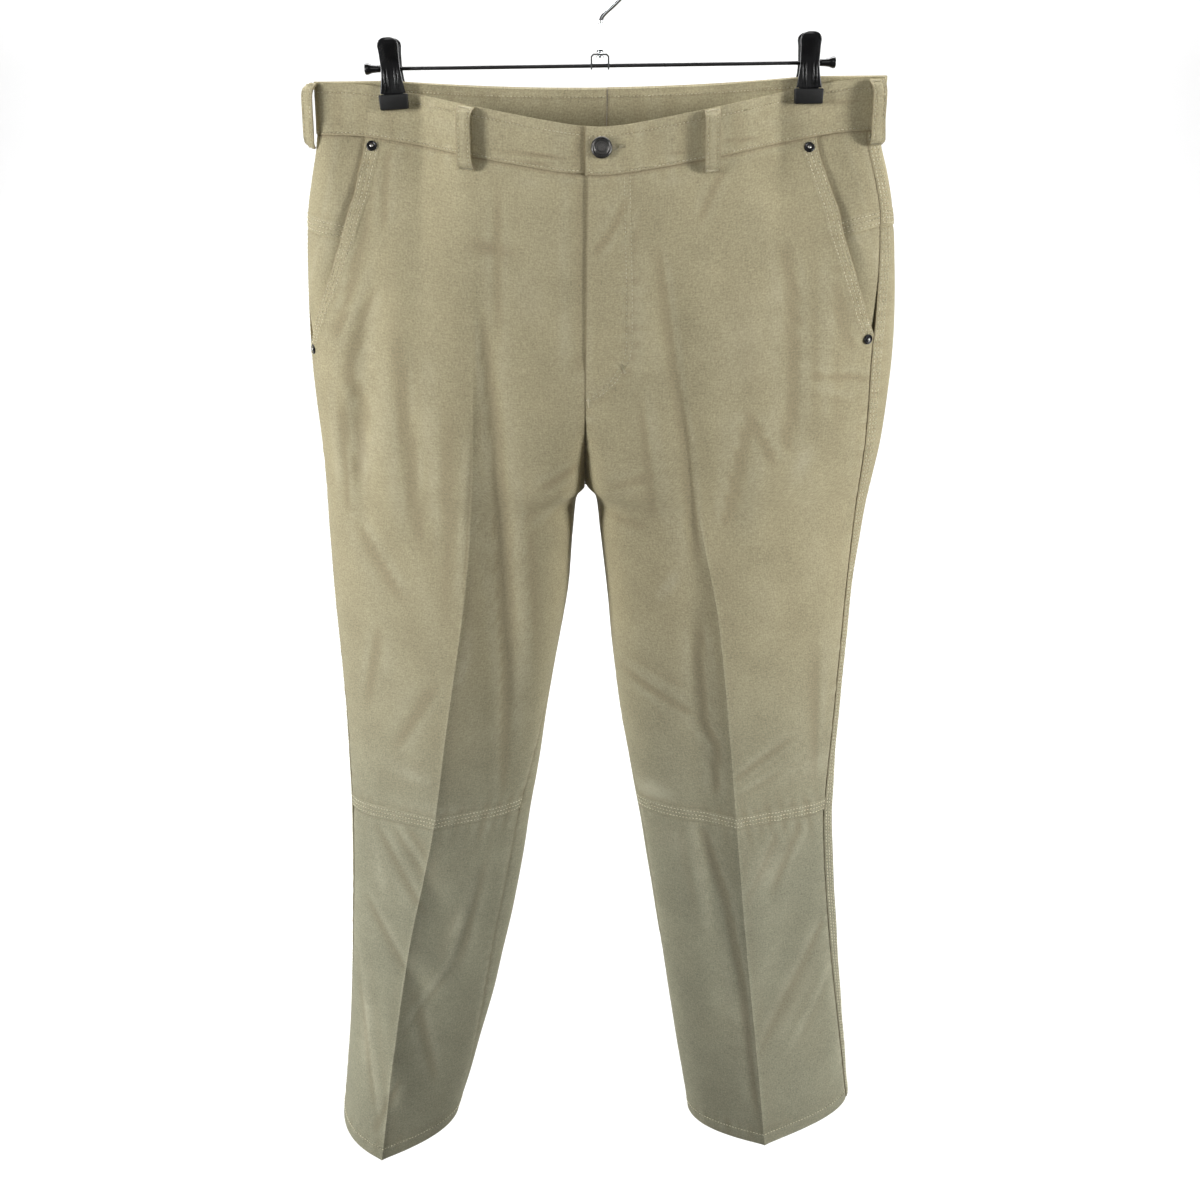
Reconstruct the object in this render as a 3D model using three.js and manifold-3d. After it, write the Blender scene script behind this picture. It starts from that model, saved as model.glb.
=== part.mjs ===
// Canvas work slacks hanging from a trouser hanger.
// Millimetres, +Z up. The origin is the inner top of the hanger's hook. The front of the slacks faces -Y.
// Piece names end in _r or _l for the wearer's right (-X) and left (+X) side.
import * as THREE from 'three';
import * as BufferGeometryUtils from 'three/addons/utils/BufferGeometryUtils.js';
import Module from 'manifold-3d';

const wasm = await Module();
wasm.setup();

// ---------------------------------------------------------------- driving dimensions
const WAIST_Z = -116;          // side top of the waistband, below the hook's inner top
const BAND_HEIGHT = 40;
const KNEE_DROP = 646;         // knee seam, below the waist
const OUTSEAM_LENGTH = 1013;   // hem, below the waist
const CLOTH = 1.6;             // canvas wall, with its turned seam allowances
const BAND_CLOTH = 2.8;        // waistband: two layers and an interlining
const BAND_PROUD = 0.7;        // the waistband's outer face, proud of the panels
const SEAM_GAP = 0.3;
const HEM_HEIGHT = 24;
const HEM_CLOTH = 2.6;
const CROTCH_DROP = 335;       // level at which the two legs part
const CROTCH_X = -13;
const CROTCH_Y = 15;
const FLY_BOTTOM = 222;        // below here the centre front turns down and back to the crotch
const SEAT_TURN = 200;         // the same level at the centre back
const CENTRE_FRONT_X = -10;
const CENTRE_BACK_X = 6;
const FLY_LAP = 6;             // the right front runs this far under the left front
const BAND_UNDERLAP = 30;      // and its waistband this far under the left waistband
const BAND_OVERLAP = 1.5;
const YOKE_SIDE_DROP = 113.5;  // yoke seam at the side seams
const YOKE_CENTRE_DROP = 134;  // and at the centre back
const YOKE_FRONT_DROP = 121;   // and where it runs on into the slant pockets
const FLY_RELEASE = 200;       // level at which the right front comes out from under the left one
const POCKET_GAPE = 3;
const CLIP_X = 167.5;
const PINCH_HALF = 2.9;        // half the squeezed waistband between the jaws, to the panels' faces
const JAW_REACH = 19;          // how far the jaws come down over the band
const JAW_HALF = 22;
const LOOP_WIDTH = 12.4;
const LOOP_CLOTH = 1.8;
const LOOP_CLEAR = 6.6;        // room for a belt behind each loop
const LOOP_TOP = 0.8;
const LOOP_BOTTOM = 51;
const BUTTON_D = 17;
const RIVET_D = 8.5;
const ROD_D = 3;
const ROD_HALF = 189;
const ROD_Z = WAIST_Z + 22;
const CAP_LENGTH = 12.5;
const CAP_SOCKET = 8;
const HOOK_WIRE = 3.4;
const HOOK_RADIUS = 26;        // to the wire's centre line
const BRACKET_WIDTH = 15;

// ---------------------------------------------------------------- section tables
// One row for each level below the waist. Widths are X of the inner fold, front crease and side fold.
// shiftIn and shiftOut say how far the seams lie round to the front of the folds, along the cloth.
const COLUMNS = ['drop', 'inX', 'creaseX', 'outX', 'shiftIn', 'shiftOut'];
const SECTIONS = {
  r: [
    [0, 0, -98, -230.5, 0, 2],
    [40, 0, -98, -231, 0, 2],
    [52, 0, -99, -232.5, 0, 2],
    [75, 0, -100, -238, 0, 2],
    [100, 0, -101, -243, 0, 3],
    [165, 0, -103, -248, 0, 4],
    [230, 0, -104, -249, 0, 5],
    [290, 0, -106, -246, 0, 5],
    [CROTCH_DROP, -13.3, -109, -245, 0, 5],
    [345, -20.5, -110, -245, 2, 5],
    [370, -24, -112, -245, 4, 5],
    [430, -30, -120, -244, 8, 6],
    [540, -49, -139, -241, 18, 8],
    [650, -67, -157, -242, 26, 8],
    [780, -90, -186, -249, 26, 7],
    [900, -119, -207, -259, 18, 5],
    [OUTSEAM_LENGTH, -151, -225, -273, 6, 4],
  ],
  l: [
    [0, 0, 74, 231, 0, 12],
    [40, 0, 75, 229, 0, 21],
    [52, 0, 75, 230, 0, 22],
    [75, 0, 73, 237, 0, 24.5],
    [100, 0, 72, 243, 0, 26.5],
    [165, 0, 71, 251, 0, 37.5],
    [230, 0, 72, 253, 0, 44.5],
    [290, 0, 76, 249, 0, 41],
    [CROTCH_DROP, -12.7, 82, 242, 0, 36],
    [345, -5, 84, 240, 2, 34],
    [370, -1, 90, 237, 3, 31.5],
    [430, 6, 103, 232, 5, 27],
    [540, 18, 117, 228, 8, 23],
    [650, 37, 129, 227, 10, 22],
    [780, 58, 143, 239, 6, 20],
    [900, 76, 157, 251, 3, 15],
    [OUTSEAM_LENGTH, 94, 169, 263, 2, 12],
  ],
};
// Depths are the same on both legs. crispness is the slope of the cloth at the pressed crease, in degrees.
// fullness draws the inner front and seat out into a squarer corner.
const DEPTH_COLUMNS = [
  'drop', 'frontY', 'backY', 'inY', 'outY', 'centreFrontY', 'centreBackY', 'crispness', 'fullness',
];
const DEPTHS = [
  [0, -32, 30, 15, 0, -38, 36, 0, 0.55],
  [45, -42, 42, 15, 0, -46, 47, 0, 0.55],
  [100, -53, 56, 15, 3, -54, 56, 0, 0.55],
  [165, -64, 66, 15, 6, -60, 62, 3, 0.55],
  [230, -72, 74, 15, 7, -62, 66, 6, 0.62],
  [290, -76, 78, 15, 8, -62, 66, 9, 0.76],
  [CROTCH_DROP, -77, 78, CROTCH_Y, 8, -62, 66, 12, 0.84],
  [430, -74, 76, 14, 6, 0, 0, 16, 0.78],
  [540, -66, 70, 10, 5, 0, 0, 19, 0.68],
  [650, -53, 64, 6, 2, 0, 0, 21, 0.6],
  [780, -51, 60, 4, 0, 0, 0, 22, 0.55],
  [900, -56, 58, 2, 0, 0, 0, 22, 0.55],
  [OUTSEAM_LENGTH, -64, 56, 0, 0, 0, 0, 20, 0.55],
];
// How the hem's line departs from level, at the inseam, front crease, side seam and back crease.
const HEM_LINE = {
  r: { inner: 0, front: -14, outer: 0, back: 6 },
  l: { inner: 0, front: 3, outer: 19, back: 10 },
};
// Slant pockets: how far the pocket's edge lies in front of the side seam, along the cloth.
const SLANT_COLUMNS = ['drop', 'inset'];
const SLANTS = {
  r: [[0, 51], [46, 51], [85, 55.5], [121, 50], [146, 43], [172, 31], [188, 21.5], [203, 12], [218, 0]],
  l: [[0, 43], [49, 43], [87, 41.5], [118, 36.5], [139, 29], [159, 21], [183, 10.5], [201, 0]],
};
// Soft folds: from (x0, drop0) to (x1, drop1), seen from the front or the back. A negative depth is a trough.
const FOLD_COLUMNS = ['side', 'face', 'x0', 'drop0', 'x1', 'drop1', 'width', 'depth'];
const FOLD_ROWS = [
  ['r', 'front', -92, 150, -76, 640, 26, -6],
  ['r', 'front', -181, 150, -208, 285, 20, -4],
  ['r', 'front', -190, 175, -205, 330, 22, -5],
  ['r', 'front', -158, 230, -145, 360, 24, -4],
  ['r', 'front', -205, 300, -204, 360, 16, -3],
  ['r', 'front', -166, 120, -167, 250, 22, 3],
  ['r', 'front', -180, 668, -158, 738, 20, -4],
  ['r', 'front', -196, 790, -172, 850, 20, -4],
  ['r', 'front', -214, 850, -200, 960, 18, 4],
  ['l', 'front', 50, 135, 78, 330, 24, -6],
  ['l', 'front', 78, 330, 98, 600, 24, -6],
  ['l', 'front', 96, 640, 140, 900, 22, -4],
  ['l', 'front', 157, 150, 158, 300, 30, -4],
  ['l', 'front', 118, 285, 108, 380, 22, -4],
  ['l', 'front', 215, 205, 208, 250, 20, -3],
  ['l', 'front', 200, 720, 158, 880, 24, -5],
  ['l', 'front', 190, 660, 150, 720, 18, 4],
  ['r', 'back', -70, 170, -120, 360, 30, -6],
  ['r', 'back', -180, 150, -150, 330, 26, -5],
  ['r', 'back', -110, 420, -150, 600, 24, -5],
  ['r', 'back', -175, 700, -215, 860, 22, -4],
  ['l', 'back', 60, 180, 100, 370, 28, -6],
  ['l', 'back', 175, 160, 160, 340, 26, -5],
  ['l', 'back', 95, 450, 135, 620, 24, -5],
  ['l', 'back', 165, 700, 190, 880, 22, -4],
];
const FOLDS = rowsByName(FOLD_COLUMNS, FOLD_ROWS);
const SIDE_SIGN = { r: -1, l: 1 };
const OTHER_SIDE = { r: 'l', l: 'r' };

// ---------------------------------------------------------------- small helpers
const lerp = THREE.MathUtils.lerp;
const clamp = THREE.MathUtils.clamp;
const radians = THREE.MathUtils.degToRad;
const smooth = (x, from, to) => {
  const t = clamp((x - from) / (to - from), 0, 1);
  return t * t * (3 - 2 * t);
};

function rowsByName(columns, rows) {
  return rows.map((row) => Object.fromEntries(columns.map((name, k) => [name, row[k]])));
}

// Value of one column at a level, on a smooth curve through the rows.
function tableValue(rows, columns, name, drop) {
  const column = columns.indexOf(name);
  let i = 1;
  while (i < rows.length - 1 && rows[i][0] < drop) i += 1;
  const [a, b] = [rows[i - 1], rows[i]];
  const before = rows[Math.max(i - 2, 0)];
  const after = rows[Math.min(i + 1, rows.length - 1)];
  const span = b[0] - a[0];
  const t = clamp((drop - a[0]) / span, 0, 1);
  const slopeIn = (b[column] - before[column]) / (b[0] - before[0]);
  const slopeOut = (after[column] - a[column]) / (after[0] - a[0]);
  const steady = (b[column] - a[column]) / span;
  const limit = 3 * Math.abs(steady);
  const m0 = slopeIn * steady > 0 ? clamp(slopeIn, -limit, limit) : 0;
  const m1 = slopeOut * steady > 0 ? clamp(slopeOut, -limit, limit) : 0;
  const t2 = t * t;
  const t3 = t2 * t;
  return (2 * t3 - 3 * t2 + 1) * a[column] + (t3 - 2 * t2 + t) * span * m0
    + (3 * t2 - 2 * t3) * b[column] + (t3 - t2) * span * m1;
}

// A rise seam's depth: a quarter ellipse from the straight centre line round to the crotch.
function riseDepth(drop, turn, centreY) {
  const t = clamp((drop - turn) / (CROTCH_DROP - turn), 0, 1);
  return CROTCH_Y + (centreY - CROTCH_Y) * Math.sqrt(1 - t * t);
}

// Cubic curve between two section points, leaving along d0 and arriving along d1.
function sectionArc(p0, d0, p1, d1, steps, fullness = 0.55) {
  const dx = Math.abs(p1.x - p0.x);
  const dy = Math.abs(p1.y - p0.y);
  const reach = lerp(0.33, fullness, clamp(1 - d0.dot(d1), 0, 1));
  const h0 = reach * (dx * Math.abs(d0.x) + dy * Math.abs(d0.y));
  const h1 = reach * (dx * Math.abs(d1.x) + dy * Math.abs(d1.y));
  const curve = new THREE.CubicBezierCurve(
    p0,
    p0.clone().addScaledVector(d0, h0),
    p1.clone().addScaledVector(d1, -h1),
    p1,
  );
  return curve.getPoints(steps);
}

// ---------------------------------------------------------------- one side's section at one level
const ARC_STEPS = 28;
const sectionCache = new Map();

function section(side, drop) {
  const key = `${side}${drop.toFixed(3)}`;
  if (sectionCache.has(key)) return sectionCache.get(key);
  const s = SIDE_SIGN[side];
  const wide = (name) => tableValue(SECTIONS[side], COLUMNS, name, drop);
  const deep = (name) => tableValue(DEPTHS, DEPTH_COLUMNS, name, drop);
  const legs = drop >= CROTCH_DROP;
  const centre = (top) => lerp(top, CROTCH_X, smooth(drop, 0, CROTCH_DROP)) + s * SEAM_GAP / 2;

  const inner = legs
    ? new THREE.Vector2(wide('inX'), deep('inY'))
    : new THREE.Vector2(centre(CENTRE_FRONT_X), riseDepth(drop, FLY_BOTTOM, deep('centreFrontY')));
  const innerBack = legs
    ? inner.clone()
    : new THREE.Vector2(centre(CENTRE_BACK_X), riseDepth(drop, SEAT_TURN, deep('centreBackY')));
  const crease = new THREE.Vector2(wide('creaseX'), deep('frontY'));
  const outer = new THREE.Vector2(wide('outX'), deep('outY'));
  const back = new THREE.Vector2(wide('creaseX'), deep('backY'));

  const turnFront = legs ? 1 : smooth(drop, FLY_BOTTOM - 10, CROTCH_DROP - 8);
  const turnBack = legs ? 1 : smooth(drop, SEAT_TURN - 10, CROTCH_DROP - 8);
  const flare = legs ? radians(12) * (1 - smooth(drop, CROTCH_DROP, 372)) : radians(12);
  const frontAngle = (Math.PI / 2 - flare) * turnFront;
  const backAngle = (Math.PI / 2 - flare) * turnBack;
  const slope = radians(deep('crispness'));
  const leaveInner = new THREE.Vector2(s * Math.cos(frontAngle), -Math.sin(frontAngle));
  const reachInner = new THREE.Vector2(-s * Math.cos(backAngle), -Math.sin(backAngle));
  const toCrease = new THREE.Vector2(s * Math.cos(slope), -Math.sin(slope));
  const fromCrease = new THREE.Vector2(s * Math.cos(slope), Math.sin(slope));
  const round = new THREE.Vector2(0, 1);
  const toBack = new THREE.Vector2(-s * Math.cos(slope * 0.8), Math.sin(slope * 0.8));
  const fromBack = new THREE.Vector2(-s * Math.cos(slope * 0.8), -Math.sin(slope * 0.8));

  const arcs = [
    sectionArc(inner, leaveInner, crease, toCrease, ARC_STEPS, deep('fullness')),
    sectionArc(crease, fromCrease, outer, round, ARC_STEPS),
    sectionArc(outer, round, back, toBack, ARC_STEPS),
    sectionArc(back, fromBack, innerBack, reachInner, ARC_STEPS, deep('fullness')),
  ];
  const points = [arcs[0][0]];
  for (const arc of arcs) points.push(...arc.slice(1));
  const lengths = [0];
  for (let i = 1; i < points.length; i += 1) {
    lengths.push(lengths[i - 1] + points[i].distanceTo(points[i - 1]));
  }
  const shiftIn = legs ? wide('shiftIn') : 0;
  const result = {
    points,
    lengths,
    legs,
    frontStart: shiftIn,
    frontCrease: lengths[ARC_STEPS],
    outseam: lengths[2 * ARC_STEPS] - wide('shiftOut'),
    backCrease: lengths[3 * ARC_STEPS],
    backEnd: lengths[4 * ARC_STEPS] + shiftIn,
  };
  sectionCache.set(key, result);
  return result;
}

// Point of the section at a distance along the cloth from the centre front or the inner fold.
function alongSection(sec, distance) {
  const { points, lengths, legs } = sec;
  const total = lengths[lengths.length - 1];
  let d = distance;
  if (legs) d = ((d % total) + total) % total;
  let i = 1;
  if (d > 0) {
    let low = 1;
    let high = lengths.length - 1;
    while (low < high) {
      const mid = (low + high) >> 1;
      if (lengths[mid] < d) low = mid + 1;
      else high = mid;
    }
    i = low;
  }
  const t = (d - lengths[i - 1]) / (lengths[i] - lengths[i - 1]);
  return points[i - 1].clone().lerp(points[i], t);
}

// ---------------------------------------------------------------- what hangs: pinch, dip and folds
// The clips squeeze the band flat. It opens again below the jaws, inwards of them and towards the side folds,
// each by a slope and a curve for every millimetre away from the jaws.
const OPENING = {
  below: { slope: 0.35, curve: 0.0015 },
  inwards: { slope: 0.5, curve: 0.01 },
  outwards: { slope: 0.12, curve: 0 },
};
const opened = ({ slope, curve }, away) => slope * away + curve * away * away;

function pinched(x, y, level, midY) {
  const below = Math.max(0, level - JAW_REACH);
  const inwards = Math.max(0, CLIP_X - JAW_HALF - Math.abs(x));
  const outwards = Math.max(0, Math.abs(x) - CLIP_X - JAW_HALF);
  const room = PINCH_HALF + opened(OPENING.below, below) + opened(OPENING.inwards, inwards)
    + opened(OPENING.outwards, outwards);
  const depth = y - midY;
  const squeezed = depth / (1 + (Math.abs(depth) / room) ** 4) ** 0.25;
  return midY + squeezed;
}

const FOLD_FADE = 0.25;        // share of a fold's length over which each of its ends fades

function foldRise(side, face, x, drop) {
  let rise = 0;
  for (const fold of FOLDS) {
    if (fold.side !== side || fold.face !== face) continue;
    const t = (drop - fold.drop0) / (fold.drop1 - fold.drop0);
    const along = smooth(t, -FOLD_FADE, FOLD_FADE) * (1 - smooth(t, 1 - FOLD_FADE, 1 + FOLD_FADE));
    const across = (x - lerp(fold.x0, fold.x1, clamp(t, 0, 1))) / fold.width;
    rise += fold.depth * along * Math.exp(-2 * across * across);
  }
  return rise;
}

// How far the cloth hangs above or below its level: the front of the waist dips in a V between the clips,
// and the back of it stands a little higher.
const WAIST_V = { slope: 0.21, round: 22, bottom: -25.6, tilt: 0.005 };
const SIDE_LIFT = { r: 9.5, l: 13 };
const BACK_LIFT = { clip: 12.7, dip: 7, tilt: 0.0105 };
const LIFT_ROUNDING = 2;       // radius of the turn from the V into the level side
const DIP_FADES = [-60, 350];  // levels over which the waist's line gives way to the side's
const LIFT_FADES = [100, 600]; // and the side's to a level one

function waistLift(side, x, drop, share) {
  const fromCentre = Math.hypot(x, WAIST_V.round) - WAIST_V.round;
  const vee = WAIST_V.bottom + WAIST_V.slope * fromCentre + WAIST_V.tilt * x;
  const turn = Math.exp(-vee / LIFT_ROUNDING) + Math.exp(-SIDE_LIFT[side] / LIFT_ROUNDING);
  const front = -LIFT_ROUNDING * Math.log(turn);
  const back = BACK_LIFT.clip + BACK_LIFT.tilt * x - BACK_LIFT.dip * Math.max(0, 1 - (x / CLIP_X) ** 2);
  const steady = SIDE_LIFT[side] * (1 - smooth(drop, ...LIFT_FADES));
  return lerp(lerp(front, back, share), steady, smooth(drop, ...DIP_FADES));
}

function hemLift(side, sec, distance, drop) {
  const line = HEM_LINE[side];
  const total = sec.lengths[sec.lengths.length - 1];
  const stops = [
    [0, line.inner],
    [sec.frontCrease, line.front],
    [sec.lengths[2 * ARC_STEPS], line.outer],
    [sec.backCrease, line.back],
    [total, line.inner],
  ];
  const d = ((distance % total) + total) % total;
  let i = 1;
  while (i < stops.length - 1 && stops[i][0] < d) i += 1;
  const t = (d - stops[i - 1][0]) / (stops[i][0] - stops[i - 1][0]);
  return lerp(stops[i - 1][1], stops[i][1], t) * smooth(drop, 820, OUTSEAM_LENGTH + 60) / 0.75;
}

// The cloth's outer face, from a distance along the section and a level below the waist.
// A negative distance above the crotch runs on over the centre front to the other side.
function clothPoint(side, distance, drop) {
  const sec = section(side, Math.max(drop, 0));
  if (distance < 0 && !sec.legs) return clothPoint(OTHER_SIDE[side], -distance, drop);
  const flat = alongSection(sec, distance);
  const front = distance < sec.lengths[2 * ARC_STEPS] || (sec.legs && distance > sec.lengths[4 * ARC_STEPS]);
  const sideFold = sec.lengths[2 * ARC_STEPS];
  const backShare = sec.legs ? Number(!front) : smooth(distance, sideFold - 14, sideFold + 3);
  const lift = waistLift(side, flat.x, drop, backShare) + hemLift(side, sec, distance, drop);
  const midY = tableValue(DEPTHS, DEPTH_COLUMNS, 'outY', drop);
  const y = pinched(flat.x, flat.y, drop - lift, midY);
  const fold = foldRise(side, front ? 'front' : 'back', flat.x, drop);
  return new THREE.Vector3(flat.x, y + (front ? -fold : fold), WAIST_Z - drop + lift);
}

function surfaceNormal(side, distance, drop) {
  const reach = 1.5;
  const level = clamp(drop, reach, OUTSEAM_LENGTH - reach);
  const along = clothPoint(side, distance + reach, drop).sub(clothPoint(side, distance - reach, drop));
  const down = clothPoint(side, distance, level + reach).sub(clothPoint(side, distance, level - reach));
  const normal = SIDE_SIGN[side] > 0 ? down.cross(along) : along.cross(down);
  return normal.normalize();
}

// Walls are offset level at the waistband, so that the band's seam stays even all round.
function clothNormal(side, distance, drop) {
  const normal = surfaceNormal(side, distance, drop);
  normal.z *= smooth(drop, BAND_HEIGHT + 5, BAND_HEIGHT + 50);
  return normal.normalize();
}

// ---------------------------------------------------------------- walls from rows of points
// place(i, j) gives { point, normal, outer, thickness }. The wall runs inwards from outer.
function wall(columns, rows, place) {
  const outerPoints = [];
  const innerPoints = [];
  for (let j = 0; j <= rows; j += 1) {
    for (let i = 0; i <= columns; i += 1) {
      const { point, normal, outer, thickness } = place(i, j);
      outerPoints.push(point.clone().addScaledVector(normal, outer));
      innerPoints.push(point.clone().addScaledVector(normal, outer - thickness));
    }
  }
  return closedWall(outerPoints, innerPoints, columns, rows);
}

function closedWall(outerPoints, innerPoints, columns, rows) {
  const count = outerPoints.length;
  const positions = [];
  for (const p of [...outerPoints, ...innerPoints]) positions.push(p.x, p.y, p.z);
  const id = (i, j, inner) => j * (columns + 1) + i + (inner ? count : 0);
  const index = [];
  const quad = (a, b, c, d) => index.push(a, b, c, a, c, d);
  for (let j = 0; j < rows; j += 1) {
    for (let i = 0; i < columns; i += 1) {
      quad(id(i, j), id(i, j + 1), id(i + 1, j + 1), id(i + 1, j));
      quad(id(i, j, true), id(i + 1, j, true), id(i + 1, j + 1, true), id(i, j + 1, true));
    }
  }
  for (let i = 0; i < columns; i += 1) {
    quad(id(i, 0), id(i + 1, 0), id(i + 1, 0, true), id(i, 0, true));
    quad(id(i + 1, rows), id(i, rows), id(i, rows, true), id(i + 1, rows, true));
  }
  for (let j = 0; j < rows; j += 1) {
    quad(id(0, j + 1), id(0, j), id(0, j, true), id(0, j + 1, true));
    quad(id(columns, j), id(columns, j + 1), id(columns, j + 1, true), id(columns, j, true));
  }
  const geometry = new THREE.BufferGeometry();
  geometry.setAttribute('position', new THREE.Float32BufferAttribute(positions, 3));
  geometry.setIndex(index);
  return facingOut(geometry);
}

function signedVolume(geometry) {
  const p = geometry.attributes.position;
  const index = geometry.index.array;
  const [a, b, c] = [new THREE.Vector3(), new THREE.Vector3(), new THREE.Vector3()];
  let volume = 0;
  for (let i = 0; i < index.length; i += 3) {
    a.fromBufferAttribute(p, index[i]);
    b.fromBufferAttribute(p, index[i + 1]);
    c.fromBufferAttribute(p, index[i + 2]);
    volume += a.dot(b.cross(c)) / 6;
  }
  return volume;
}

function facingOut(geometry) {
  if (signedVolume(geometry) < 0) {
    const index = geometry.index.array;
    for (let i = 0; i < index.length; i += 3) [index[i], index[i + 1]] = [index[i + 1], index[i]];
  }
  geometry.computeVertexNormals();
  return geometry;
}

// ---------------------------------------------------------------- booleans
function toSolid(geometry) {
  const bare = geometry.clone();
  bare.deleteAttribute('normal');
  bare.deleteAttribute('uv');
  const merged = BufferGeometryUtils.mergeVertices(bare, 1e-3);
  const vertProperties = new Float32Array(merged.attributes.position.array);
  const triVerts = new Uint32Array(merged.index.array);
  return new wasm.Manifold(new wasm.Mesh({ numProp: 3, vertProperties, triVerts }));
}

function fromSolid(solid) {
  const mesh = solid.getMesh();
  const geometry = new THREE.BufferGeometry();
  geometry.setAttribute('position', new THREE.Float32BufferAttribute(mesh.vertProperties, 3));
  geometry.setIndex(Array.from(mesh.triVerts));
  geometry.computeVertexNormals();
  return geometry;
}

const joined = (...parts) => fromSolid(parts.map(toSolid).reduce((a, b) => a.add(b)));

// ---------------------------------------------------------------- materials
function finish(color, roughness, metalness) {
  return new THREE.MeshStandardMaterial({ color, roughness, metalness });
}

const canvas = () => finish(0xa39879, 0.9, 0);
const canvasBack = () => finish(0x968a6c, 0.92, 0);
const antiqueMetal = () => finish(0x55504a, 0.35, 1);
const blackPlastic = () => finish(0x121212, 0.25, 0);
const rubber = () => finish(0x0c0c0c, 0.75, 0);
const chrome = () => finish(0xd0d2d4, 0.12, 1);

const slacks = new THREE.Group();

function add(name, geometry, material, parent = slacks) {
  const mesh = new THREE.Mesh(geometry, material);
  mesh.name = name;
  parent.add(mesh);
  return mesh;
}

// ---------------------------------------------------------------- cut lines on the panels
// Share of the front or back panel's width at which its columns stand: closer at creases and seams.
const PANEL_COLUMNS = [0, 0.05, 0.14, 0.25, 0.36, 0.45, 0.5, 0.55, 0.65, 0.76, 0.86, 0.93, 0.97, 1];
const BACK_COLUMNS = [0, 0.04, 0.08, 0.12, 0.2, 0.31, 0.42, 0.5, 0.58, 0.69, 0.8, 0.9, 0.96, 1];
const FACING_COLUMNS = [0, 0.2, 0.45, 0.75, 1];
const UPPER_DROPS = [
  52, 72, 98, 125, 150, 176, 201, 218, 240, 260, 276, 290, 302, 313, 322, 329, 333,
  337, 342, 350, 364, 385, 420, 465, 515, 565, 610,
];
const LOWER_DROPS = [690, 735, 780, 830, 880, 930, 965];

const pocketInset = (side, drop) => tableValue(SLANTS[side], SLANT_COLUMNS, 'inset', drop);
const pocketBottom = (side) => SLANTS[side].at(-1)[0];

function frontDistance(side, drop, share) {
  const sec = section(side, drop);
  const edge = sec.legs ? SEAM_GAP / 2 : 0;
  const lap = side === 'r' ? FLY_LAP * (1 - smooth(drop, FLY_RELEASE - 40, FLY_RELEASE)) : 0;
  const start = sec.frontStart - lap + edge;
  const end = sec.outseam - pocketInset(side, drop) - SEAM_GAP / 2;
  return share < 0.5
    ? lerp(start, sec.frontCrease, share * 2)
    : lerp(sec.frontCrease, end, share * 2 - 1);
}

function backDistance(side, drop, share) {
  const sec = section(side, drop);
  const start = sec.outseam + SEAM_GAP / 2;
  const end = sec.backEnd - (sec.legs ? SEAM_GAP / 2 : 0);
  return share < 0.5
    ? lerp(start, sec.backCrease, share * 2)
    : lerp(sec.backCrease, end, share * 2 - 1);
}

// The right front passes under the left front's fly edge.
function flyTuck(side, distance, drop) {
  if (side !== 'r') return 0;
  return -(CLOTH + SEAM_GAP) * (1 - smooth(distance, 1, 20)) * (1 - smooth(drop, FLY_RELEASE, FLY_BOTTOM));
}

const thicknessAt = (drop) => (drop > OUTSEAM_LENGTH - HEM_HEIGHT - 0.5 ? HEM_CLOTH : CLOTH);

function panel(side, drops, distanceAt, offsetAt, columns = PANEL_COLUMNS) {
  return wall(columns.length - 1, drops.length - 1, (i, j) => {
    const drop = typeof drops[j] === 'function' ? drops[j](columns[i]) : drops[j];
    const distance = distanceAt(side, drop, columns[i]);
    return {
      point: clothPoint(side, distance, drop),
      normal: clothNormal(side, distance, drop),
      outer: offsetAt(side, distance, drop),
      thickness: thicknessAt(drop),
    };
  });
}

const flush = () => 0;
const bandSeam = BAND_HEIGHT + SEAM_GAP;
const kneeUpper = KNEE_DROP - SEAM_GAP / 2;
const kneeLower = KNEE_DROP + SEAM_GAP / 2;
const hemDrops = [OUTSEAM_LENGTH - HEM_HEIGHT - 1, OUTSEAM_LENGTH - HEM_HEIGHT, OUTSEAM_LENGTH];

// ---------------------------------------------------------------- fronts
for (const side of ['r', 'l']) {
  const above = [bandSeam, ...UPPER_DROPS, kneeUpper];
  const below = [kneeLower, ...LOWER_DROPS, ...hemDrops];
  add(`front_upper_${side}`, panel(side, above, frontDistance, flyTuck), canvas());
  add(`front_lower_${side}`, panel(side, below, frontDistance, flush), canvas());
}

// ---------------------------------------------------------------- slant pockets' facings
const FACING_TUCK = 8;
const FACING_CLEAR = 1.4;      // behind the front's inner face

function facingDistance(side, drop, share) {
  const sec = section(side, drop);
  const start = sec.outseam - pocketInset(side, drop) - FACING_TUCK;
  return lerp(start, sec.outseam - SEAM_GAP / 2, share);
}

function facingOffset(side, distance, drop) {
  const sec = section(side, drop);
  const fromSlant = distance - (sec.outseam - pocketInset(side, drop));
  const rise = clamp((fromSlant - 2) / 22, 0, 1);
  const gape = POCKET_GAPE * smooth(drop, 60, 120) * (1 - smooth(drop, 140, 190));
  return -(CLOTH + FACING_CLEAR) * (1 - rise) - gape * Math.exp(-((fromSlant / 12) ** 2)) * (1 - rise);
}

// The facings share the back panels' levels, so that both sides of the side seam have the same facets.
const YOKE_DROPS = [bandSeam, 52, 70, 93];
const facingSeam = (share) => lerp(YOKE_FRONT_DROP, YOKE_SIDE_DROP, share);

function pocketDrops(side) {
  return [0.15, 0.38, 0.6, 0.8, 1].map((share) => lerp(YOKE_CENTRE_DROP, pocketBottom(side) - 3, share));
}

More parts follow.
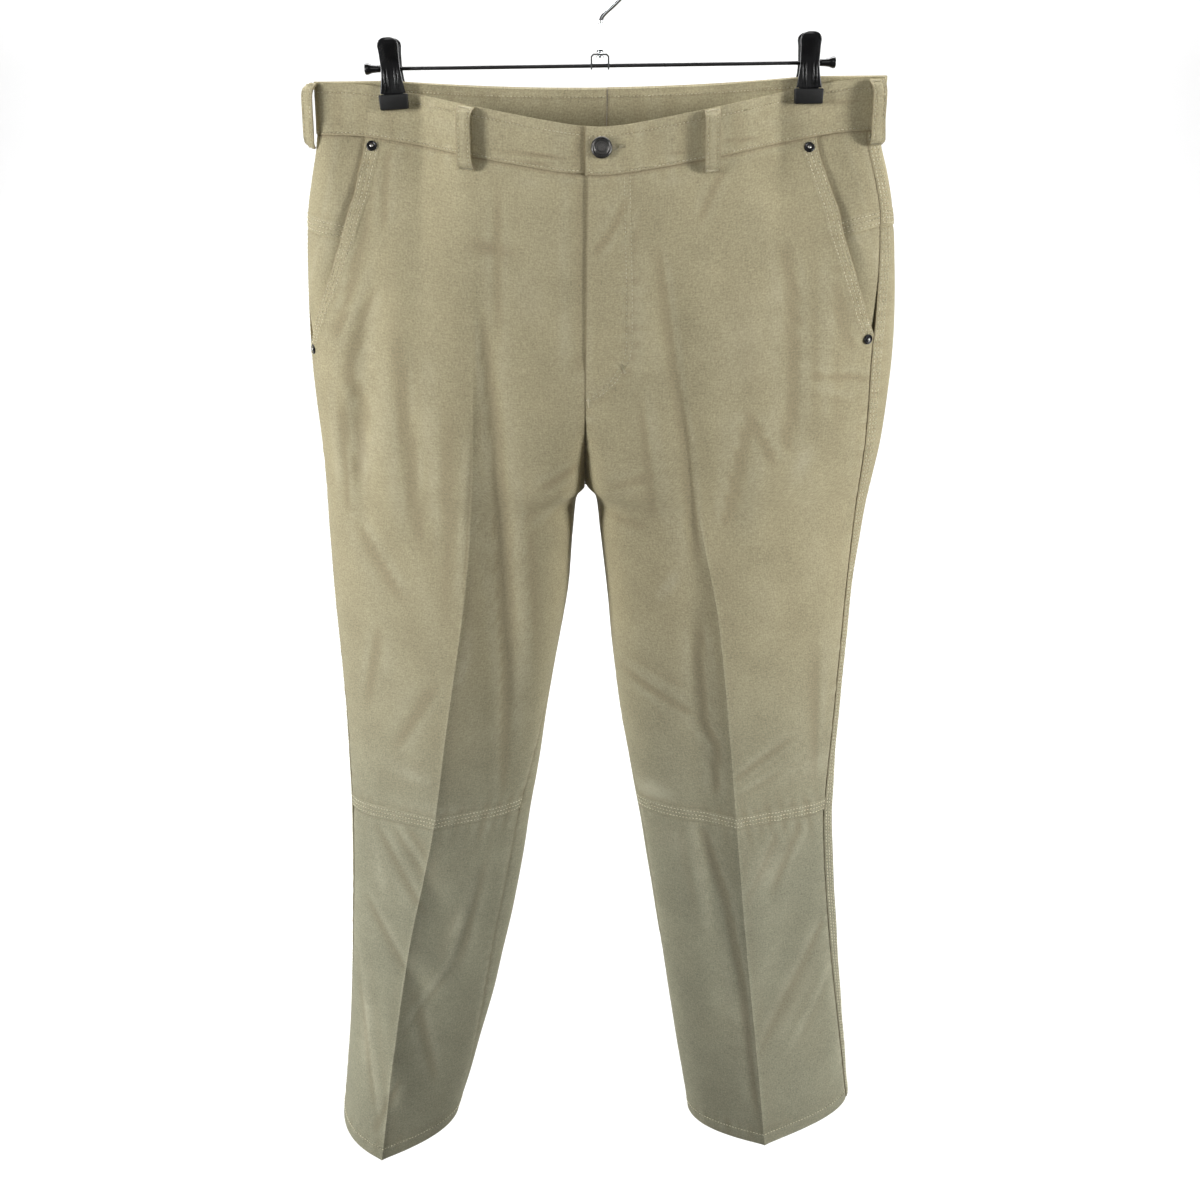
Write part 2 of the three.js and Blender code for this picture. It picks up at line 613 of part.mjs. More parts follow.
for (const side of ['r', 'l']) {
  const upper = [...YOKE_DROPS, (share) => facingSeam(share) - SEAM_GAP / 2];
  const lower = [(share) => facingSeam(share) + SEAM_GAP / 2, ...pocketDrops(side)];
  const facing = (drops) => panel(side, drops, facingDistance, facingOffset, FACING_COLUMNS);
  add(`pocket_facing_upper_${side}`, facing(upper), canvasBack());
  add(`pocket_facing_lower_${side}`, facing(lower), canvasBack());
}

// ---------------------------------------------------------------- backs
const yokeDrop = (share) => lerp(YOKE_SIDE_DROP, YOKE_CENTRE_DROP, share);

for (const side of ['r', 'l']) {
  const above = (share) => yokeDrop(share) - SEAM_GAP / 2;
  const below = (share) => yokeDrop(share) + SEAM_GAP / 2;
  const seatDrops = UPPER_DROPS.filter((drop) => drop > pocketBottom(side));
  const backDrops = [below, ...pocketDrops(side), ...seatDrops, KNEE_DROP, ...LOWER_DROPS, ...hemDrops];
  const back = (drops) => panel(side, drops, backDistance, flush, BACK_COLUMNS);
  add(`back_yoke_${side}`, back([...YOKE_DROPS, above]), canvasBack());
  add(`back_${side}`, back(backDrops), canvasBack());
}

// ---------------------------------------------------------------- waistband
const BAND_COLUMNS = 34;
const BAND_DROPS = [0, 13, 27, BAND_HEIGHT - SEAM_GAP / 2];

function band(side) {
  const tuck = side === 'r' ? BAND_CLOTH + 0.5 : 0;
  const lap = side === 'r' ? BAND_UNDERLAP : BAND_OVERLAP;
  return wall(BAND_COLUMNS, BAND_DROPS.length - 1, (i, j) => {
    const sec = section(side, BAND_DROPS[j]);
    const distance = lerp(-lap, sec.backEnd, i / BAND_COLUMNS);
    const under = tuck * (1 - smooth(distance, 0, 24));
    const drop = BAND_DROPS[j] - 0.4 * under * (j / (BAND_DROPS.length - 1));
    return {
      point: clothPoint(side, distance, drop),
      normal: clothNormal(side, distance, drop),
      outer: BAND_PROUD - under,
      thickness: BAND_CLOTH,
    };
  });
}

add('waistband_r', band('r'), canvas());
add('waistband_l', band('l'), canvas());

// Distance along one side's section at which the front or back cloth passes an X.
function distanceAtX(side, drop, x, front) {
  const sec = section(side, drop);
  let low = front ? 0 : sec.lengths[2 * ARC_STEPS];
  let high = front ? sec.lengths[2 * ARC_STEPS] : sec.lengths[4 * ARC_STEPS];
  for (let n = 0; n < 40; n += 1) {
    const mid = (low + high) / 2;
    const outside = Math.abs(alongSection(sec, mid).x) > Math.abs(x);
    if (outside === front) high = mid;
    else low = mid;
  }
  return (low + high) / 2;
}

// ---------------------------------------------------------------- belt loops
// Share of the loop's length and how far it stands off the band there. Where it stands off it is flat.
const LOOP_COLUMNS = ['share', 'stand'];
const LOOP_ROWS = [
  [0, 0], [0.03, 0.3], [0.08, 0.72], [0.17, 0.94], [0.3, 1], [0.5, 1],
  [0.7, 1], [0.83, 0.94], [0.92, 0.72], [0.97, 0.3], [1, 0],
];
const LOOP_PROFILE = rowsByName(LOOP_COLUMNS, LOOP_ROWS);

const LOOP_SPANS = 3;
const LOOP_SEAT = 0.9;
const SIDE_LOOP_INSET = { r: 3, l: 15.5 };     // how far the side loops sit in front of the side folds
// The side loops have slumped round to face forwards.
const SIDE_LOOP_FACING = { r: new THREE.Vector3(-0.6, -0.8, 0), l: new THREE.Vector3(0.3, -0.954, 0) };

function beltLoop(side, distanceAt, facing) {
  const seated = BAND_PROUD + LOOP_SEAT + LOOP_CLOTH;
  const handed = side === 'l' ? 1 : -1;
  return wall(LOOP_SPANS, LOOP_PROFILE.length - 1, (i, j) => {
    const { share, stand } = LOOP_PROFILE[j];
    const drop = lerp(LOOP_TOP, LOOP_BOTTOM, share);
    const middle = distanceAt(drop);
    const across = LOOP_WIDTH * (i / LOOP_SPANS - 0.5);
    const straight = facing ?? clothNormal(side, middle, drop);
    const level = new THREE.Vector3(0, 0, handed).cross(straight).normalize();
    const flat = clothPoint(side, middle, drop).addScaledVector(level, across);
    return {
      point: clothPoint(side, middle + across, drop).lerp(flat, stand),
      normal: clothNormal(side, middle + across, drop).lerp(straight, stand).normalize(),
      outer: seated + stand * LOOP_CLEAR,
      thickness: LOOP_CLOTH,
    };
  });
}

const FRONT_LOOP_X = { r: -105, l: 88.5 };
const BACK_LOOP_X = { r: -122, l: 132 };

for (const side of ['r', 'l']) {
  const atFront = (drop) => distanceAtX(side, drop, FRONT_LOOP_X[side], true);
  const atSide = (drop) => section(side, drop).lengths[2 * ARC_STEPS] - SIDE_LOOP_INSET[side];
  const atBack = (drop) => distanceAtX(side, drop, BACK_LOOP_X[side], false);
  add(`loop_front_${side}`, beltLoop(side, atFront), canvas());
  add(`loop_side_${side}`, beltLoop(side, atSide, SIDE_LOOP_FACING[side]), canvas());
  add(`loop_back_${side}`, beltLoop(side, atBack), canvas());
}
add('loop_back_centre', beltLoop('r', (drop) => section('r', drop).backEnd - 8), canvas());

// ---------------------------------------------------------------- button and rivets
function turned(profile, segments) {
  const points = profile.map(([radius, height]) => new THREE.Vector2(radius, height));
  const geometry = new THREE.LatheGeometry(points, segments);
  geometry.deleteAttribute('uv');
  geometry.deleteAttribute('normal');
  return facingOut(BufferGeometryUtils.mergeVertices(geometry, 1e-3));
}

function seatOn(mesh, side, distance, drop, height) {
  const normal = surfaceNormal(side, distance, drop);
  mesh.quaternion.setFromUnitVectors(new THREE.Vector3(0, 1, 0), normal);
  mesh.position.copy(clothPoint(side, distance, drop).addScaledVector(normal, height));
}

const buttonProfile = [
  [0, 0], [5, 0], [5.4, 1.6], [BUTTON_D / 2 - 0.4, 1.9], [BUTTON_D / 2, 2.5], [BUTTON_D / 2 - 0.3, 3.4],
  [BUTTON_D / 2 - 1.2, 3.9], [BUTTON_D / 2 - 2, 3.6], [4.4, 3.9], [0, 4.1],
];
const button = add('button', turned(buttonProfile, 24), antiqueMetal());
seatOn(button, 'l', 11, 17.5, BAND_PROUD + SEAM_GAP);

const rivetProfile = [
  [0, 0], [RIVET_D / 2, 0], [RIVET_D / 2, 0.5], [RIVET_D / 2 - 0.9, 1.1], [RIVET_D / 2 - 1.9, 0.7],
  [1.7, 0.8], [1.2, 1.6], [0, 1.9],
];
// inset is measured from the side seam. Their heights clear the flat facets of the panel below them.
const RIVETS = [
  { side: 'r', name: 'top', drop: 46.5, inset: 57.5, height: 0.6 },
  { side: 'l', name: 'top', drop: 47.5, inset: 50, height: 0.4 },
  { side: 'r', name: 'bottom', drop: 211.5, inset: 15, height: 0.2 },
  { side: 'l', name: 'bottom', drop: 203.5, inset: 7.2, height: 0.6 },
];
for (const { side, name, drop, inset, height } of RIVETS) {
  const rivet = add(`rivet_${name}_${side}`, turned(rivetProfile, 14), antiqueMetal());
  seatOn(rivet, side, section(side, drop).outseam - inset, drop, height);
}

// ---------------------------------------------------------------- hanger
const ROD_TILT = Math.atan2(5, 376);
const rodHeight = (x) => ROD_Z + x * Math.tan(ROD_TILT);

const rodLength = 2 * (ROD_HALF - CAP_LENGTH + CAP_SOCKET);
const rodBar = new THREE.CylinderGeometry(ROD_D / 2, ROD_D / 2, rodLength, 10);
rodBar.rotateZ(Math.PI / 2);
const rod = add('hanger_rod', rodBar, blackPlastic());
rod.position.set(0, 0, ROD_Z);
rod.rotation.y = -ROD_TILT;

// Each cap is a flared plug with a blind socket for the rod.
const socket = ROD_D / 2 + SEAM_GAP;
const capProfile = [
  [0, 0], [3.9, 0], [4.5, 0.8], [4.5, 2.6], [3.2, 6], [2.7, CAP_LENGTH],
  [socket, CAP_LENGTH], [socket, CAP_LENGTH - CAP_SOCKET - SEAM_GAP], [0, CAP_LENGTH - CAP_SOCKET - SEAM_GAP],
];
for (const side of ['r', 'l']) {
  const s = SIDE_SIGN[side];
  const cap = add(`rod_cap_${side}`, turned(capProfile, 12), blackPlastic());
  cap.position.set(s * ROD_HALF, 0, rodHeight(s * ROD_HALF));
  cap.rotation.z = s * Math.PI / 2;
  cap.rotation.order = 'YXZ';
  cap.rotation.y = -ROD_TILT;
}

// An outline of [x, z] points pushed through in Y, centred on y.
function plate(outline, depth, y, bevel = 0) {
  const shape = new THREE.Shape(outline.map(([x, z]) => new THREE.Vector2(x, z)));
  const geometry = new THREE.ExtrudeGeometry(shape, {
    depth: depth - 2 * bevel,
    bevelEnabled: bevel > 0,
    bevelSize: bevel,
    bevelThickness: bevel,
    bevelOffset: -bevel,
    bevelSegments: 1,
  });
  geometry.translate(0, 0, bevel - depth / 2);
  geometry.rotateX(Math.PI / 2);
  geometry.translate(0, y, 0);
  return geometry;
}

// A profile of [y, z] points pushed through in X, centred on x.
function rib(profile, width, x) {
  const shape = new THREE.Shape(profile.map(([y, z]) => new THREE.Vector2(y, z)));
  const geometry = new THREE.ExtrudeGeometry(shape, { depth: width, bevelEnabled: false });
  geometry.translate(0, 0, -width / 2);
  geometry.applyMatrix4(new THREE.Matrix4().makeBasis(
    new THREE.Vector3(0, 1, 0),
    new THREE.Vector3(0, 0, 1),
    new THREE.Vector3(1, 0, 0),
  ));
  geometry.translate(x, 0, 0);
  return geometry;
}

// One clip has a front and a back jaw, pivoting on the rod, each in a rubber boot. Heights are from the rod.
const JAW_FACE = PINCH_HALF + BAND_PROUD + 0.5;
const CLIP_TOP = 23;
const BOOT_TOP = -18.8;
const BOOT_BOTTOM = -31;
const TONGUE_BOTTOM = -28;
const TONGUE_HALF = 8;
const jawEdge = [
  [10.2, BOOT_TOP + 0.4], [8.4, -8], [7.7, 2], [7.8, 12], [8.3, 17], [6.8, 20.6], [3.2, CLIP_TOP],
];
const jawOutline = [
  [-TONGUE_HALF, TONGUE_BOTTOM], [TONGUE_HALF, TONGUE_BOTTOM], [TONGUE_HALF, BOOT_TOP],
  ...jawEdge,
  ...jawEdge.map(([x, z]) => [-x, z]).reverse(),
  [-TONGUE_HALF, BOOT_TOP],
];
const tongue = JAW_FACE + 1.6;
const jawProfile = [
  [-tongue, TONGUE_BOTTOM], [-tongue, BOOT_TOP], [-5.2, -12], [-5.4, 4], [-9.2, CLIP_TOP],
  [-11.8, CLIP_TOP], [-8.2, 3], [-8.2, -10], [-tongue - 3, BOOT_TOP + 0.4], [-tongue - 1.4, BOOT_TOP],
  [-tongue - 1.4, TONGUE_BOTTOM],
];
const bootOutline = [
  [-10.6, BOOT_BOTTOM], [10.6, BOOT_BOTTOM], [11.4, BOOT_BOTTOM + 0.8], [11.7, BOOT_TOP - SEAM_GAP],
  [-11.7, BOOT_TOP - SEAM_GAP], [-11.4, BOOT_BOTTOM + 0.8],
];
const RIB_X = [-5.6, -3, 3, 5.6];
const ribProfile = [[-8, -18], [-8, 0.5], [-9.1, -1.5], [-9.4, -16], [-8.6, -18]];
const lugProfile = [[-6, -5], [-1, -3.6], [2.4, -2.6], [2.9, 0], [2.4, 2.6], [-6, 5]];

// The bore is wide enough for the jaw to lean on the rod by its roll.
function jaw(lugX, roll) {
  const blade = toSolid(plate(jawOutline, 30, -8)).intersect(toSolid(rib(jawProfile, 40, 0)));
  const ribs = RIB_X.map((x) => toSolid(rib(ribProfile, 1.1, x)));
  const lugs = [-lugX, lugX].map((x) => toSolid(rib(lugProfile, 1.6, x)));
  const solid = [...ribs, ...lugs].reduce((whole, part) => whole.add(part), blade);
  const boreR = socket + 8 * Math.tan(radians(roll) + ROD_TILT);
  const bore = new THREE.CylinderGeometry(boreR, boreR, 40, 12);
  bore.rotateZ(Math.PI / 2);
  return fromSolid(solid.subtract(toSolid(bore)));
}

function boot() {
  const block = toSolid(plate(bootOutline, 6, -JAW_FACE - 3, 0.6));
  const wide = TONGUE_HALF + SEAM_GAP;
  const low = TONGUE_BOTTOM - SEAM_GAP;
  const slot = plate([[-wide, low], [wide, low], [wide, 0], [-wide, 0]], 1.4 + 2 * SEAM_GAP, -tongue - 0.7);
  return fromSolid(block.subtract(toSolid(slot)));
}

const CLIP_ROLL = { r: 3.5, l: 0.5 };
for (const side of ['r', 'l']) {
  const x = SIDE_SIGN[side] * CLIP_X;
  for (const face of ['front', 'back']) {
    const half = new THREE.Group();
    half.position.set(x, 0, rodHeight(x));
    half.rotation.set(0, radians(-CLIP_ROLL[side]), face === 'front' ? 0 : Math.PI, 'YXZ');
    slacks.add(half);
    add(`clip_${face}_${side}`, jaw(face === 'front' ? 5.4 : 3.2, CLIP_ROLL[side]), blackPlastic(), half);
    add(`clip_boot_${face}_${side}`, boot(), rubber(), half);
  }
}

// The bracket is a bent strip, with the rod through its two legs and the hook through its top.
const BRACKET_TOP = ROD_Z + 9;
const BRACKET_LEG = 12;
const STRIP = 1.3;
const STRIP_WIDTH = 8;
const halfWide = BRACKET_WIDTH / 2;
const bracketEdge = [
  [2.5 - halfWide, -STRIP], [STRIP - halfWide, -2.5], [STRIP - halfWide, -BRACKET_LEG],
  [-halfWide, -BRACKET_LEG], [-halfWide, -2], [2 - halfWide, 0],
];
const bracketOutline = [...bracketEdge, ...bracketEdge.map(([x, z]) => [-x, z]).reverse()];
const hookHole = new THREE.CylinderGeometry(HOOK_WIRE / 2 + SEAM_GAP, HOOK_WIRE / 2 + SEAM_GAP, 8, 12);
hookHole.rotateX(Math.PI / 2);
const rodHole = new THREE.CylinderGeometry(socket + 0.1, socket + 0.1, 40, 12);
rodHole.rotateZ(Math.PI / 2);
rodHole.translate(0, 0, ROD_Z - BRACKET_TOP);
const strip = toSolid(plate(bracketOutline, STRIP_WIDTH, 0));
const bracket = fromSolid(strip.subtract(toSolid(hookHole)).subtract(toSolid(rodHole)));
add('hook_bracket', bracket, chrome()).position.z = BRACKET_TOP;

// The hook: a headed shank, an S-bend and a round bow whose inner top is the origin.
const bowZ = HOOK_WIRE / 2 - HOOK_RADIUS;
const BOW_START = radians(-44);
const BOW_END = radians(205);
const route = [
  [0, BRACKET_TOP - STRIP - 1.5], [0, BRACKET_TOP + 8], [0, BRACKET_TOP + 16],
  [0.3, WAIST_Z + 56], [4, WAIST_Z + 60.8], [11.5, WAIST_Z + 66.6],
];
const BOW_STEPS = 22;
for (let i = 0; i <= BOW_STEPS; i += 1) {
  const angle = lerp(BOW_START, BOW_END, i / BOW_STEPS);
  route.push([HOOK_RADIUS * Math.cos(angle), bowZ + HOOK_RADIUS * Math.sin(angle)]);
}
const hookPoints = route.map(([x, z]) => new THREE.Vector3(x, 0, z));
const hookCurve = new THREE.CatmullRomCurve3(hookPoints, false, 'centripetal');
const wire = new THREE.Shape().absarc(0, 0, HOOK_WIRE / 2, 0, 2 * Math.PI, false);
const hookTube = new THREE.ExtrudeGeometry(wire, {
  steps: 58, curveSegments: 5, bevelEnabled: false, extrudePath: hookCurve,
});
const headProfile = [[0, -1.5], [3, -1.5], [3.2, -0.6], [2.6, 0], [0, 0]];
const collarProfile = [[0, 0], [2.7, 0], [2.9, 1.2], [2.3, 2.6], [0, 2.6]];
const upright = (profile, z) => turned(profile, 12).rotateX(Math.PI / 2).translate(0, 0, z);
const head = upright(headProfile, BRACKET_TOP - STRIP - SEAM_GAP);
const collar = upright(collarProfile, BRACKET_TOP + SEAM_GAP);
add('hook', joined(hookTube, head, collar), chrome());

export default slacks;
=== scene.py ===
"""Canvas work slacks on a clip hanger: cloth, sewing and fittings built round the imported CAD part.

Sizes and tables are in millimetres, and "drop" is a level below the side top of the waistband. Blender's
objects are in metres. Names end in _r or _l for the wearer's right (-X) and left (+X) side.
"""

import math

import bpy
import numpy as np
from bpy.props import FloatProperty, FloatVectorProperty, PointerProperty
from bpy.types import Operator, Panel, PropertyGroup
from mathutils import Matrix, Vector


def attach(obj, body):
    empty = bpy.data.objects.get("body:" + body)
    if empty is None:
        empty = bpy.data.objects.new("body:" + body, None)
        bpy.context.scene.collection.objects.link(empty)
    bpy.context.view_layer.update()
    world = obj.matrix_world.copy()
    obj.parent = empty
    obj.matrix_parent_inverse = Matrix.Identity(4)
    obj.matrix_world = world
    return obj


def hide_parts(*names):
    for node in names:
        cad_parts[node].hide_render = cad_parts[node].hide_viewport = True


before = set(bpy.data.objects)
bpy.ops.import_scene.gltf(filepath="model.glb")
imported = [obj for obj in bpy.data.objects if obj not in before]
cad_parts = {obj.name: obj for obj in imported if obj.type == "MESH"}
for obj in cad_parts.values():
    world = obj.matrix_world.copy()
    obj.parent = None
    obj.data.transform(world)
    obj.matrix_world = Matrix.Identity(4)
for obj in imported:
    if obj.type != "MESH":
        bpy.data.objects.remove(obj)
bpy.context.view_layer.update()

bl_info = {
    "name": "Canvas Slacks on a Hanger",
    "version": (1, 0, 0),
    "blender": (4, 5, 0),
    "location": "3D View > Sidebar > Slacks",
    "description": "Builds canvas slacks, their sewing and the clip hanger that holds them",
    "category": "Object",
}

MM = 0.001

# ------------------------------------------------------------------ sizes shared with the solids, in mm
WAIST_Z = -116.0
BAND_HEIGHT = 40.0
KNEE_DROP = 646.0
OUTSEAM_LENGTH = 1013.0
CLOTH = 1.6
BAND_CLOTH = 2.8
BAND_PROUD = 0.7
SEAM_GAP = 0.3
SEAM_LAP = 0.12
CROTCH_DROP = 335.0
CROTCH_X = -13.0
CROTCH_Y = 15.0
FLY_BOTTOM = 222.0
SEAT_TURN = 200.0
CENTRE_FRONT_X = -10.0
CENTRE_BACK_X = 6.0
FLY_LAP = 6.0
BAND_UNDERLAP = 30.0
BAND_OVERLAP = 1.5
YOKE_SIDE_DROP = 113.5
YOKE_CENTRE_DROP = 134.0
YOKE_FRONT_DROP = 121.0
FLY_RELEASE = 200.0
POCKET_GAPE = 3.0
FACING_TUCK = 8.0
FACING_CLEAR = 1.4
CLIP_X = 167.5
PINCH_HALF = 2.9
JAW_REACH = 19.0
JAW_HALF = 22.0
LOOP_WIDTH = 12.4
LOOP_CLOTH = 1.8
LOOP_CLEAR = 6.6
LOOP_TOP = 0.8
LOOP_BOTTOM = 51.0
LOOP_SEAT = 0.9
BUTTON_D = 17.0
RIVET_D = 8.5
ROD_D = 3.0
ROD_HALF = 189.0
ROD_Z = WAIST_Z + 22.0
ROD_TILT = math.atan2(5, 376)
CAP_LENGTH = 12.5
HOOK_WIRE = 3.4
HOOK_RADIUS = 26.0
BRACKET_TOP = ROD_Z + 9.0
STRIP = 1.3
CLIP_ROLL = {"r": 3.5, "l": 0.5}
CLIP_TOP = 23.0
BOOT_TOP = -18.8
BOOT_BOTTOM = -31.0
HATCH_PITCH = 2.1
CAMERA_Y = -1.166
CAMERA_LENS = 40.5
CAMERA_DOWN = math.atan2(505, 1350)
JAW_FACE = PINCH_HALF + BAND_PROUD + 0.5

SIDES = ("r", "l")
SIGN = {"r": -1.0, "l": 1.0}
OTHER = {"r": "l", "l": "r"}

# ------------------------------------------------------------------ tables
SECTION_COLUMNS = ("drop", "in_x", "crease_x", "out_x", "shift_in", "shift_out")
SECTIONS = {
    "r": (
        (0, 0, -98, -230.5, 0, 2), (40, 0, -98, -231, 0, 2), (52, 0, -99, -232.5, 0, 2),
        (75, 0, -100, -238, 0, 2), (100, 0, -101, -243, 0, 3), (165, 0, -103, -248, 0, 4),
        (230, 0, -104, -249, 0, 5), (290, 0, -106, -246, 0, 5), (335, -13.3, -109, -245, 0, 5),
        (345, -20.5, -110, -245, 2, 5), (370, -24, -112, -245, 4, 5), (430, -30, -120, -244, 8, 6),
        (540, -49, -139, -241, 18, 8), (650, -67, -157, -242, 26, 8), (780, -90, -186, -249, 26, 7),
        (900, -119, -207, -259, 18, 5), (1013, -151, -225, -273, 6, 4),
    ),
    "l": (
        (0, 0, 74, 231, 0, 12), (40, 0, 75, 229, 0, 21), (52, 0, 75, 230, 0, 22), (75, 0, 73, 237, 0, 24.5),
        (100, 0, 72, 243, 0, 26.5), (165, 0, 71, 251, 0, 37.5), (230, 0, 72, 253, 0, 44.5),
        (290, 0, 76, 249, 0, 41), (335, -12.7, 82, 242, 0, 36), (345, -5, 84, 240, 2, 34),
        (370, -1, 90, 237, 3, 31.5), (430, 6, 103, 232, 5, 27), (540, 18, 117, 228, 8, 23),
        (650, 37, 129, 227, 10, 22), (780, 58, 143, 239, 6, 20), (900, 76, 157, 251, 3, 15),
        (1013, 94, 169, 263, 2, 12),
    ),
}
DEPTH_COLUMNS = (
    "drop", "front_y", "back_y", "in_y", "out_y", "centre_front_y", "centre_back_y", "crispness", "fullness",
)
DEPTHS = (
    (0, -32, 30, 15, 0, -38, 36, 0, 0.55), (45, -42, 42, 15, 0, -46, 47, 0, 0.55),
    (100, -53, 56, 15, 3, -54, 56, 0, 0.55), (165, -64, 66, 15, 6, -60, 62, 3, 0.55),
    (230, -72, 74, 15, 7, -62, 66, 6, 0.62), (290, -76, 78, 15, 8, -62, 66, 9, 0.76),
    (335, -77, 78, 15, 8, -62, 66, 12, 0.84), (430, -74, 76, 14, 6, 0, 0, 16, 0.78),
    (540, -66, 70, 10, 5, 0, 0, 19, 0.68), (650, -53, 64, 6, 2, 0, 0, 21, 0.6),
    (780, -51, 60, 4, 0, 0, 0, 22, 0.55), (900, -56, 58, 2, 0, 0, 0, 22, 0.55),
    (1013, -64, 56, 0, 0, 0, 0, 20, 0.55),
)
HEM_LINE = {
    "r": {"inner": 0, "front": -14, "outer": 0, "back": 6},
    "l": {"inner": 0, "front": 3, "outer": 19, "back": 10},
}
# How far each slant pocket's edge lies in front of the side seam, along the cloth.
SLANT_COLUMNS = ("drop", "inset")
SLANTS = {
    "r": ((0, 51), (46, 51), (85, 55.5), (121, 50), (146, 43), (172, 31), (188, 21.5), (203, 12), (218, 0)),
    "l": ((0, 43), (49, 43), (87, 41.5), (118, 36.5), (139, 29), (159, 21), (183, 10.5), (201, 0)),
}
# The solids' own soft folds, seen from the front or the back. A negative depth is a trough.
# Columns: x0, drop0, x1, drop1, width, depth.
FOLDS = {
    ("r", "front"): (
        (-92, 150, -76, 640, 26, -6), (-181, 150, -208, 285, 20, -4), (-190, 175, -205, 330, 22, -5),
        (-158, 230, -145, 360, 24, -4), (-205, 300, -204, 360, 16, -3), (-166, 120, -167, 250, 22, 3),
        (-180, 668, -158, 738, 20, -4), (-196, 790, -172, 850, 20, -4), (-214, 850, -200, 960, 18, 4),
    ),
    ("l", "front"): (
        (50, 135, 78, 330, 24, -6), (78, 330, 98, 600, 24, -6), (96, 640, 140, 900, 22, -4),
        (157, 150, 158, 300, 30, -4), (118, 285, 108, 380, 22, -4), (215, 205, 208, 250, 20, -3),
        (200, 720, 158, 880, 24, -5), (190, 660, 150, 720, 18, 4),
    ),
    ("r", "back"): (
        (-70, 170, -120, 360, 30, -6), (-180, 150, -150, 330, 26, -5), (-110, 420, -150, 600, 24, -5),
        (-175, 700, -215, 860, 22, -4),
    ),
    ("l", "back"): (
        (60, 180, 100, 370, 28, -6), (175, 160, 160, 340, 26, -5), (95, 450, 135, 620, 24, -5),
        (165, 700, 190, 880, 22, -4),
    ),
}
